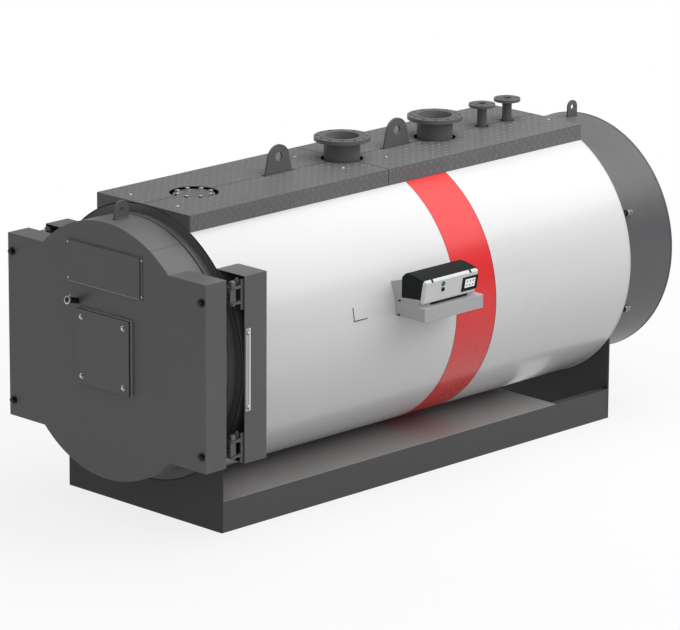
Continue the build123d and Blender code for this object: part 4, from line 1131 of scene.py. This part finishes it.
@dataclass
class Door:
    """Screws, washers, seams and the sight tube's fittings on the front door."""

    layout: Layout
    name_screws: Pair = (0.3105, 0.107)
    name_screw_radius: float = 0.0042
    highlight_strip: tuple[float, float, float] = (0.0036, 0.0012, 0.0004)
    highlight_strip_rise: float = 0.0022
    highlight_strip_short: float = 0.004
    burner_reach: float = 0.177
    washer: Pairs = ((0.0122, 0.0), (0.0158, 0.0), (0.0158, 0.004), (0.0122, 0.004))
    thread_end: Pairs = ((0.0075, 0.0), (0.007, 0.0015), (0.0075, 0.003), (0.0058, 0.0045))
    shade_band_height: float = 0.0006
    shade_band_front: float = 0.002
    stud_radius: float = 0.027
    stud_end: Pairs = ((0.011, 0.0), (0.0098, 0.0012), (0.011, 0.0024), (0.0098, 0.0036),
                       (0.011, 0.0048), (0.0085, 0.0062))
    tube_tilt: float = 13.0
    tube_radius: float = 0.023
    tube_foot: float = 1.274
    tube_ring: Pairs = ((0.0178, -0.001), (0.0232, -0.001), (0.0232, -0.01), (0.0246, -0.01),
                        (0.0246, -0.0005), (0.0226, 0.00005), (0.0188, 0.0009), (0.0178, 0.0007))
    glass: Pairs = ((0.0177, -0.003), (0.0177, 0.0004), (0.012, 0.0014))
    nipple: Pairs = ((0.0045, -0.003), (0.0045, 0.006), (0.0062, 0.006), (0.0062, 0.011),
                     (0.004, 0.0125), (0.0034, 0.019), (0.0026, 0.0195))
    nipple_place: Pair = (0.017, -0.02)
    tube_weld_ring: float = 0.0185
    tube_weld_radius: float = 0.0035
    tube_weld_front: float = 0.001
    rim_turns: Pair = (60.4, 240.4)
    rim_inset: float = 0.004
    rim_radius: float = 0.0017

    def name_panel(self) -> None:
        """Makes the four screws of the blank name panel, and a pale strip along its lower edge that is a
        painted highlight.
        """
        backing, blank = Box.of("name_panel_backing"), Box.of("name_panel_blank")
        screws, highlight_strip = Shape(), Shape()
        for spot in corners(backing.at_y(backing.low.y), *self.name_screws):
            screws.screw(Place.facing(spot, -REAR), self.name_screw_radius)
        screws.piece("name_panel_screws", "zinc_bolts", body=Body.DOOR)
        # painted highlight: a thin pale strip along the blank's lower edge
        height, depth, edge = self.highlight_strip
        foot = Place.facing((blank.middle.x, blank.low.y, blank.low.z + self.highlight_strip_rise), -REAR)
        highlight_strip.plate(foot, rectangle(blank.size.x - self.highlight_strip_short, height), depth, edge)
        highlight_strip.piece("name_panel_highlight_strip", "graphite_paint", EDGE_HIGHLIGHT, Body.DOOR)

    def burner_plate(self) -> None:
        """Makes the washers and thread ends of the burner plate's bolts, and a dark band of painted shade
        round the plate's sides.
        """
        bolts, plate = Box.of("burner_bolts"), Box.of("burner_plate")
        shape, band = Shape(), Shape()
        for spot in corners(bolts.at_y(plate.low.y), self.burner_reach, self.burner_reach):
            shape.lathe(Place.facing(spot, -REAR), self.washer, 24, hollow=True)
            shape.lathe(Place.facing((spot.x, bolts.low.y + BITE, spot.z), -REAR), self.thread_end, 14)
        shape.piece("burner_bolt_washers", "zinc_bolts", body=Body.DOOR)
        # painted shade: a dark band round the plate's sides, where the gap to the frame lies in shadow
        front, half = plate.low.y + self.shade_band_front, plate.size.x / 2
        section = ((0.0, front), (self.shade_band_height, front), (self.shade_band_height, plate.high.y),
                   (0.0, plate.high.y), (0.0, front))
        rings = [[plate.at_y(y) + (RIGHT * x + UP * z) * (half + out)
                  for x, z in ((-1, -1), (1, -1), (1, 1), (-1, 1))] for out, y in section]
        band.stacked(rings, closed=False)
        band.piece("burner_plate_shade_band", "black_steel", GASKET_AND_SHADE, Body.DOOR)

    def stud_ends(self) -> None:
        """Makes the thread ends that stand proud of the closing nuts."""
        studs = Box.of("door_studs")
        shape = Shape()
        middle = studs.at_y(studs.low.y + BITE)
        for spot in corners(middle, studs.size.x / 2 - self.stud_radius, studs.size.z / 2 - self.stud_radius):
            shape.lathe(Place.facing(spot, -REAR), self.stud_end, 18)
        shape.piece("closing_stud_ends", "black_steel", body=Body.DOOR)

    def sight_tube(self) -> None:
        """Makes the sight tube's pale ring, its glass, its flushing nipple and its weld."""
        tube = Box.of("sight_tube")
        tilt = math.radians(self.tube_tilt)
        out = Vector((0, -math.cos(tilt), math.sin(tilt)))
        tip = Vector((tube.middle.x, tube.low.y + self.tube_radius * math.sin(tilt),
                      tube.high.z - self.tube_radius * math.cos(tilt)))
        base = Place.facing(tip, out)
        ring, glass, nipple, weld = Shape(), Shape(), Shape(), Shape()
        ring.lathe(base, self.tube_ring, 32, hollow=True)
        ring.piece("sight_tube_ring", "zinc_bolts", body=Body.DOOR)
        glass.lathe(base, self.glass, 24)
        glass.piece("sight_glass", "black_steel", GLASS, Body.DOOR)
        side = base.moved(0.0, *self.nipple_place)
        nipple.lathe(Place.facing(side.origin, side.up, side.out), self.nipple, 16)
        nipple.piece("sight_tube_nipple", "black_steel", BRASS, Body.DOOR)
        foot = Place.facing((tube.middle.x, self.layout.door_front - self.tube_weld_front, self.tube_foot),
                            -REAR)
        weld.ring_bead(foot, self.tube_weld_ring, self.tube_weld_radius, 0.003, 0.007, faced=True)
        weld.piece("sight_tube_weld", "graphite_paint", WELD, Body.DOOR)

    def rim_seams(self) -> None:
        """Makes the two welded seams across the door's round rim."""
        shape = Shape()
        front, back = self.layout.door_front + self.rim_inset, self.layout.door_back - self.rim_inset
        for turn in self.rim_turns:
            way = on_circle(Vector(), 1.0, turn)
            start = self.layout.axis(front) + way * self.layout.rim_radius
            shape.line_bead(start, start + REAR * (back - front), 36, way, self.rim_radius, 0.01)
        shape.piece("door_rim_seams", "graphite_paint", body=Body.DOOR)

    def build(self) -> None:
        """Makes every piece of the door."""
        self.name_panel()
        self.burner_plate()
        self.stud_ends()
        self.sight_tube()
        self.rim_seams()


@dataclass
class TubePlate:
    """Weld rings round the smoke tubes and the furnace mouth, behind the door."""

    layout: Layout
    rings: tuple[tuple[float, int], ...] = ((0.5155, 18), (0.6142, 24))
    weld: Pairs = ((0.0395, 0.0), (0.0455, 0.0), (0.0445, 0.0022), (0.0405, 0.0022))
    sunk: float = 0.0004
    furnace_ring: float = 0.4145
    furnace_weld: float = 0.005
    furnace_ripple: float = 0.014

    def build(self) -> None:
        """Makes the weld rings of the front tube plate."""
        shape = Shape()
        axis = self.layout.axis(Box.of("front_tube_plate").low.y - self.sunk)
        for ring, count in self.rings:
            for step in range(count):
                centre = on_circle(axis, ring, 360 * step / count)
                shape.lathe(Place.facing(centre, -REAR), self.weld, 28, hollow=True)
        shape.ring_bead(Place.facing(axis, -REAR), self.furnace_ring, self.furnace_weld,
                        ripple=self.furnace_ripple, faced=True)
        shape.piece("tube_end_welds", "boiler_steel", TUBE_WELD)


@dataclass
class Hinges:
    """Pin caps, nuts and weld beads of the hinges, and the closing strip's screws."""

    fork_height: float = 0.088
    plate_rise: float = 0.045
    plate_half: float = 0.006
    plate_inset: float = 0.010
    cap_radius: float = 0.0199
    cap_height: float = 0.015
    cap_base: float = 0.0195
    nut: Pair = (0.0185, 0.013)
    lock_place: Pair = (0.003, 0.039)
    lock_nut: Pairs = ((0.0165, 0.0), (0.0165, 0.014), (0.0148, 0.0155), (0.0148, 0.0165),
                       (0.0165, 0.018), (0.0165, 0.032), (0.0145, 0.034))
    lock_end: Pairs = ((0.0085, 0.03), (0.0085, 0.043), (0.0072, 0.0445))
    weld_start: float = 0.062
    weld_step: float = 0.006
    weld_steps: int = 9
    weld_radius: float = 0.0055
    strip_inset: float = 0.027
    strip_washer: Pairs = ((0.0125, -0.0005), (0.0125, 0.0012), (0.011, 0.0016))
    strip_screw: float = 0.0068
    strip_screw_shift: Pair = (0.0025, 0.0012)
    fold_highlight: tuple[float, float, float] = (0.010, 0.0025, 0.0012)
    fold_highlight_inset: float = 0.006

    def fittings(self) -> None:
        """Makes what holds the pins in the forks of both columns."""
        pins, forks = Box.of("hinge_pins"), Box.of("hinge_forks")
        pin_x = pins.high.x - self.cap_radius
        lock_in, lock_back = self.lock_place
        caps, nuts, welds = Shape(), Shape(), Shape()
        for side in (-1, 1):
            for height in (forks.low.z + self.fork_height, forks.high.z - self.fork_height):
                reach = self.plate_rise + self.plate_half
                cap = Place.facing((side * pin_x, pins.middle.y, height + reach + self.cap_base), UP)
                caps.lathe(cap, [(self.cap_radius * math.cos(turn), self.cap_height * math.sin(turn))
                                 for turn in (0.0, 0.3, 0.6, 0.9, 1.2, 1.45)], 24)
                nuts.bolt(Place.facing((side * pin_x, pins.middle.y, height - reach), -UP), *self.nut)
                lock = Place.facing((side * (pin_x - lock_in), pins.middle.y + lock_back,
                                     height + reach - BITE), UP)
                nuts.lathe(lock, self.lock_nut, 6)
                nuts.lathe(lock, self.lock_end, 14)
                for rise in (-self.plate_rise, self.plate_rise):
                    start = Vector((side * (forks.high.x - self.plate_inset), forks.low.y + self.weld_start,
                                    height + rise + self.plate_half))
                    welds.line_bead(start, start + REAR * (self.weld_step * self.weld_steps), self.weld_steps,
                                    UP - RIGHT * side, self.weld_radius)
        caps.piece("hinge_pin_caps", "black_steel", PIN_STEEL)
        nuts.piece("hinge_nuts", "black_steel", PIN_STEEL, smooth=False)
        welds.piece("hinge_fork_welds", "graphite_paint", BRIGHT_WELD)

    def strip(self) -> None:
        """Makes the screws and washers of the closing strip, and a pale flat plate down its rear side that is
        a painted highlight.
        """
        box = Box.of("closing_strip")
        screws, washers, fold_highlight = Shape(), Shape(), Shape()
        for z in (box.low.z + self.strip_inset, box.high.z - self.strip_inset):
            spot = Place.facing((box.high.x, box.middle.y, z), RIGHT)
            washers.lathe(spot, self.strip_washer, 24)
            screws.screw(spot.moved(0.0, *self.strip_screw_shift), self.strip_screw)
        screws.piece("closing_strip_screws", "zinc_bolts")
        washers.piece("closing_strip_washers", "black_steel", GASKET_AND_SHADE)
        # painted highlight: a pale flat plate on the lighter side of the strip
        width, depth, edge = self.fold_highlight
        fold_highlight.plate(Place.facing((box.high.x, box.high.y - self.fold_highlight_inset, box.middle.z), RIGHT),
                   rectangle(width, box.size.z - self.fold_highlight_inset), depth, edge)
        fold_highlight.piece("closing_strip_fold_highlight", "zinc_bolts")

    def build(self) -> None:
        """Makes every piece of the hinges and of the closing strip."""
        self.fittings()
        self.strip()


@dataclass
class Panel:
    """Display, buttons and clips of the control panel."""

    layout: Layout
    lean: float = 10.3
    thickness: float = 0.02
    bevel: float = 0.01
    half_height: float = 0.073
    display_place: Pair = (1.645, -0.0038)
    frame_size: Pair = (0.13, 0.09)
    frame_corner: float = 0.004
    frame_depth: float = 0.004
    screen_place: tuple[float, float, float] = (-0.001, 0.004, 0.0035)
    screen_size: Pair = (0.084, 0.054)
    screen_depth: float = 0.001
    icon_pitch: float = 0.025
    icon_out: float = 0.0009
    icon_size: float = 0.011
    icon_corner: float = 0.002
    icon_depth: float = 0.0006
    icon_dot: Pairs = ((0.0056, 0.0), (0.0052, 0.0006))
    start_place: Pair = (1.414, 0.037)
    start: Pairs = ((0.0155, 0.0), (0.0155, 0.0025), (0.0125, 0.0043), (0.012, 0.003), (0.006, 0.0035))
    reset_place: Pair = (1.417, 0.0015)
    reset: Pairs = ((0.013, 0.0), (0.013, 0.003), (0.0105, 0.006), (0.004, 0.0068))
    clip_places: Pair = (1.32, 1.642)
    clip_seat: Pair = (0.07, -0.0072)
    clip_size: Pair = (0.014, 0.022)
    clip_corner: float = 0.001
    clip_depth: float = 0.0022
    slot_depth: float = 0.0008
    long_slot: Pair = (0.314, 0.015)
    long_slot_place: Pair = (0.249, 0.0375)
    long_slot_sunk: float = 0.0006
    end_slot: Pair = (0.02, 0.011)
    end_slot_place: Pair = (0.022, 0.046)
    end_slots: Pairs = ((0.0043, 0.013), (0.0, -0.073))

    def fascia(self) -> Place:
        """Returns: the middle of the fascia's front face."""
        box = Box.of("panel_fascia")
        lean = math.radians(self.lean)
        out = Vector((math.cos(lean), 0, -math.sin(lean)))
        up = Vector((math.sin(lean), 0, math.cos(lean)))
        drop = self.bevel * math.sin(lean)
        height = (box.size.z - drop) / math.cos(lean)
        foot = Vector((box.low.x, box.middle.y, box.low.z + drop))
        return Place(foot + up * (height / 2) + out * self.thickness, REAR, up, out)

    def display(self, centre: Place) -> None:
        """Makes the display's frame, its screen and six plain icons.

        Args:
            centre: the frame's middle.
        """
        bezel, screen, icons = Shape(), Shape(), Shape()
        bezel.plate(centre, rectangle(*self.frame_size, self.frame_corner), self.frame_depth, 0.001)
        bezel.piece("display_frame", "hood_plastic", BEZEL)
        middle = centre.moved(*self.screen_place)
        screen.plate(middle, rectangle(*self.screen_size), self.screen_depth, 0.0003)
        screen.piece("display_screen", "fascia_plastic", SCREEN)
        for column in range(3):
            for row in range(2):
                spot = middle.moved((column - 1) * self.icon_pitch, (0.5 - row) * self.icon_pitch,
                                    self.icon_out)
                if (row + column) % 2:
                    icons.lathe(spot, self.icon_dot, 20)
                else:
                    square = rectangle(self.icon_size, self.icon_size, self.icon_corner)
                    icons.plate(spot, square, self.icon_depth, 0.0002)
        icons.piece("display_icons", "hood_plastic", INK)

    def slots(self, base: Place) -> None:
        """Makes the dark slots of the tray below the fascia.

        Args:
            base: the fascia's middle.
        """
        tray = Box.of("panel_tray")
        shape = Shape()
        along, drop = self.long_slot_place
        front = base.at(0.0, -self.half_height, -self.thickness).x - self.long_slot_sunk
        shape.plate(Place.facing((front, tray.low.y + along, tray.high.z - drop), RIGHT),
                    rectangle(*self.long_slot), self.slot_depth)
        out, drop = self.end_slot_place
        for back, rise in self.end_slots:
            spot = (self.layout.casing_radius + out, tray.low.y + back, tray.high.z - drop + rise)
            shape.plate(Place.facing(spot, -REAR), rectangle(*self.end_slot), self.slot_depth)
        shape.piece("panel_slots", "hood_plastic", GASKET_AND_SHADE)

    def build(self) -> None:
        """Makes every piece of the control panel."""
        base = self.fascia()
        casing_end = base.moved(self.layout.front - base.origin.y, 0.0)
        self.display(casing_end.moved(*self.display_place))
        teal, black, clips = Shape(), Shape(), Shape()
        teal.lathe(casing_end.moved(*self.start_place), self.start, 28)
        teal.piece("start_button", "hood_plastic", TEAL)
        black.lathe(casing_end.moved(*self.reset_place), self.reset, 28)
        black.piece("reset_button", "hood_plastic")
        edge = casing_end.moved(0.0, *self.clip_seat)
        slant = Place.facing(edge.origin, base.out + base.up, base.up)
        for along in self.clip_places:
            outline = rectangle(*self.clip_size, self.clip_corner)
            clips.plate(slant.moved(along, 0.0), outline, self.clip_depth, 0.0008)
        clips.piece("fascia_clips", "hood_plastic", GASKET_AND_SHADE)
        self.slots(base)


@dataclass
class SmokeBox:
    """Seams, bolts and clamps of the smoke box, seen from the rear."""

    layout: Layout
    seam_ends: Pair = (0.02, 0.01)
    seam_share: float = 0.7071
    seam_weld: float = 0.0018
    rim_sunk: float = 0.0005
    rim_weld: float = 0.003
    rim_ripple: float = 0.016
    flue_gap: float = 0.001
    flue_weld: float = 0.004
    bolt: Pair = (0.0095, 0.0065)
    bolt_shank: float = 0.005
    bolt_inset: float = 0.015
    bolt_seat: float = 0.008
    clamp_ring: float = 0.785
    clamp_turns: tuple[int, ...] = (23, 157, 203, 337)
    clamp_back: float = 0.036
    clamp_tip: Pairs = ((0.0088, -0.022), (0.0102, -0.021), (0.0102, -0.001), (0.0088, 0.0014),
                        (0.004, 0.002))
    clamp_sleeve: Pairs = ((0.0101, -0.05), (0.0205, -0.05), (0.0205, -0.034), (0.0165, -0.032),
                           (0.0165, -0.021), (0.0195, -0.02), (0.0195, -0.012), (0.0101, -0.012))

    def welds(self) -> None:
        """Makes the beads round the end plate and the flue, and the shell's seam."""
        shape = Shape()
        shell, end, flue = Box.of("smoke_box_shell"), Box.of("smoke_box_end"), Box.of("flue_spigot")
        radius = end.size.x / 2
        rim = Place.facing(self.layout.axis(end.low.y), -REAR)
        shape.ring_bead(rim, radius - self.rim_sunk, self.rim_weld, 0.008, self.rim_ripple)
        mouth = Place(flue.at_y(end.high.y), RIGHT, UP, REAR)
        shape.ring_bead(mouth, flue.size.x / 2 + self.flue_gap, self.flue_weld, faced=True)
        front_gap, rear_gap = self.seam_ends
        way = (RIGHT + UP) * -self.seam_share
        start, stop = (self.layout.axis(y) + way * radius
                       for y in (shell.low.y + front_gap, end.low.y - rear_gap))
        shape.line_bead(start, stop, 60, way, self.seam_weld)
        shape.piece("smoke_box_welds", "graphite_paint", WELD)

    def cover_bolts(self) -> None:
        """Makes the ten bolts round the cleaning cover."""
        box = Box.of("cleaning_cover")
        low, high, inset = box.low, box.high, self.bolt_inset
        third = box.size.x / 3
        places = [(x, z) for x in (low.x + inset, low.x + third, high.x - third, high.x - inset)
                  for z in (low.z + inset, high.z - inset)]
        places += [(x, box.middle.z) for x in (low.x + inset, high.x - inset)]
        shape = Shape()
        for x, z in places:
            shape.bolt(Place.facing((x, low.y + self.bolt_seat, z), REAR), *self.bolt, shank=self.bolt_shank)
        shape.piece("cleaning_cover_bolts", "zinc_bolts")

    def build(self) -> None:
        """Makes every piece of the smoke box."""
        self.welds()
        self.cover_bolts()
        tips, sleeves = Shape(), Shape()
        middle = self.layout.axis(Box.of("smoke_box_clamps").high.y + self.clamp_back)
        for turn in self.clamp_turns:
            base = Place.facing(on_circle(middle, self.clamp_ring, turn), REAR)
            tips.lathe(base, self.clamp_tip, 18)
            sleeves.lathe(base, self.clamp_sleeve, 18, hollow=True)
        tips.piece("clamp_stud_tips", "zinc_bolts", TIP_HIGHLIGHT)
        sleeves.piece("clamp_sleeves", "black_steel", DULL_ZINC)


@dataclass
class BaseFrame:
    """Weld beads of the base frame and screws of its floor panel."""

    weld_sunk: float = 0.0008
    weld_inset: float = 0.006
    weld_radius: float = 0.003
    screw_count: int = 8
    screw_inset: Pair = (0.02, 0.08)
    screw_radius: float = 0.006

    def build(self) -> None:
        """Makes every piece of the base."""
        rails, panel = Box.of("base_rails"), Box.of("base_floor_panel")
        welds, screws = Shape(), Shape()
        for y, facing in ((rails.low.y, 1), (rails.high.y, -1)):
            for side, x in ((1, rails.high.x), (-1, rails.low.x)):
                start = Vector((x - side * self.weld_sunk, y, self.weld_inset))
                tall = UP * (rails.high.z - 2 * self.weld_inset)
                welds.line_bead(start, start + tall, 30, RIGHT * side + REAR * facing, self.weld_radius)
        welds.piece("base_frame_welds", "graphite_paint", WELD)
        inset_x, inset_y = self.screw_inset
        for step in range(self.screw_count):
            y = panel.low.y + inset_y + (panel.size.y - 2 * inset_y) * step / (self.screw_count - 1)
            for x in (panel.low.x + inset_x, panel.high.x - inset_x):
                screws.screw(Place.facing((x, y, panel.high.z), UP), self.screw_radius)
        screws.piece("floor_panel_screws", "floor_panel_paint")


# Stage


@dataclass
class Studio:
    """Pale floor, plain soft light and the camera at the photograph's angle."""

    azimuth: float = 44.67
    elevation: float = 15.41
    roll: float = 0.34
    lens: float = 248.64
    distance: float = 28.6065
    target: Colour = (-0.18206, 0.130, 0.79396)
    aim: Colour = (0.0, 0.0, 1.0)
    sky: float = 0.4
    floor_reach: float = 70.0
    floor_cells: int = 28
    floor_drop: float = 0.0005

    def camera(self) -> None:
        """Makes the camera and sets it as the scene's own."""
        a, e, r = (math.radians(angle) for angle in (self.azimuth, self.elevation, self.roll))
        back = Vector((math.sin(a) * math.cos(e), -math.cos(a) * math.cos(e), math.sin(e)))
        level = Vector((math.cos(a), math.sin(a), 0))
        upright = back.cross(level)
        right = level * math.cos(r) + upright * math.sin(r)
        up = upright * math.cos(r) - level * math.sin(r)
        data = bpy.data.cameras.new("camera")
        data.lens = self.lens
        data.sensor_width = 36.0
        data.sensor_fit = "HORIZONTAL"
        data.clip_start = 0.5
        data.clip_end = 400.0
        made = bpy.data.objects.new("camera", data)
        turn = Matrix((right, up, back)).transposed().to_4x4()
        made.matrix_world = Matrix.Translation(Vector(self.target) + back * self.distance) @ turn
        bpy.context.scene.collection.objects.link(made)
        bpy.context.scene.camera = made

    def seen(self, graph: Graph) -> Socket:
        """Tells rays that are seen from rays that only carry light.

        Args:
            graph: graph that asks.
        Returns:
            1 for rays from the camera, or seen in gloss or through glass.
        """
        path = graph.node("ShaderNodeLightPath")
        rays = [Socket(graph, path.outputs[name])
                for name in ("Is Camera Ray", "Is Glossy Ray", "Is Transmission Ray")]
        return (rays[0] + rays[1] + rays[2]).clipped()

    def floor_looks(self) -> bpy.types.Material:
        """Returns: a soft grey that keeps the shadow near the boiler and turns white farther off."""
        graph = Graph.material("studio_floor_looks")
        place = graph.place()
        grain = graph.noise(place, 3.0, 3.0)
        seen = self.seen(graph)
        grey = graph.blend(grain, (0.36, 0.36, 0.36), (0.4, 0.4, 0.4))
        colour = graph.blend(seen, grey, (0.95, 0.95, 0.95))
        length = graph.node("ShaderNodeVectorMath", {0: place}, operation="LENGTH")
        away = Socket(graph, length.outputs["Value"])
        surface = graph.node("ShaderNodeBsdfPrincipled", {"Base Color": colour, "Roughness": 0.75})
        white = graph.node("ShaderNodeEmission", {"Color": (1.0, 1.0, 1.0, 1.0), "Strength": 1.0})
        share = seen * (0.82 + 0.18 * away.ramp(2.5, 5.5))
        mixed = graph.node("ShaderNodeMixShader", {0: share, 1: surface.outputs[0], 2: white.outputs[0]})
        graph.node("ShaderNodeOutputMaterial", {"Surface": mixed.outputs[0]})
        return graph.owner

    def floor(self) -> None:
        """Makes the floor, a wide plain sheet."""
        cells, side = self.floor_cells, self.floor_cells + 1
        steps = [2 * self.floor_reach * index / cells - self.floor_reach for index in range(side)]
        points = [(x, y, -self.floor_drop) for y in steps for x in steps]
        faces = [(row + column, row + column + 1, row + column + side + 1, row + column + side)
                 for row in range(0, cells * side, side) for column in range(cells)]
        mesh = bpy.data.meshes.new("studio_floor")
        mesh.from_pydata(points, [], faces)
        mesh.materials.append(self.floor_looks())
        made = bpy.data.objects.new("studio_floor", mesh)
        bpy.context.scene.collection.objects.link(made)

    def world(self) -> None:
        """Makes the even sky that lights the boiler from all round."""
        sky = bpy.data.worlds.new("studio_sky")
        bpy.context.scene.world = sky
        graph = Graph(sky)
        soft = graph.node("ShaderNodeBackground", {"Color": (1.0, 1.0, 1.0, 1.0), "Strength": self.sky})
        graph.node("ShaderNodeOutputWorld", {"Surface": soft.outputs[0]})

    def lamp(self, name: str, place: Colour, size: Pair, power: float) -> None:
        """Hangs a soft rectangular lamp that points at the boiler.

        Args:
            name: its name.
            place: its place.
            size: its two sides.
            power: its power in watts.
        """
        data = bpy.data.lights.new(name, "AREA")
        data.shape = "RECTANGLE"
        data.size, data.size_y = size
        data.energy = power
        made = bpy.data.objects.new(name, data)
        made.location = place
        made.rotation_mode = "QUATERNION"
        made.rotation_quaternion = (Vector(self.aim) - Vector(place)).to_track_quat("-Z", "Y")
        bpy.context.scene.collection.objects.link(made)

    def build(self) -> None:
        """Makes the whole studio."""
        self.camera()
        self.floor()
        self.world()
        self.lamp("top_softbox", (2.0, 1.8, 6.2), (7.0, 10.0), 385.0)
        self.lamp("side_softbox", (9.0, -4.0, 4.5), (5.0, 6.0), 60.0)
        bpy.context.scene.view_settings.view_transform = "Standard"


def dress_nodes() -> None:
    """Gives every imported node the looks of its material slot."""
    for part in frame["record"]["subparts"]:
        node = frame["nodes"][part["node"]]
        looks = looks_of(NODE_LOOKS.get(part["node"], SLOT_LOOKS[part["material_slot"]]))
        for slot in node.material_slots:
            slot.material = looks
        LOG.info("%s: %s", part["node"], looks.name)


def main() -> None:
    """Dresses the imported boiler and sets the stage."""
    layout = Layout.read()
    dress_nodes()
    assemblies = (Deck(layout), Nozzles(), Hatch(), Lugs(), Casing(layout), Door(layout), TubePlate(layout),
                  Hinges(), Panel(layout), SmokeBox(layout), BaseFrame(), Studio())
    for assembly in assemblies:
        assembly.build()


if __name__ == "__main__":
    main()
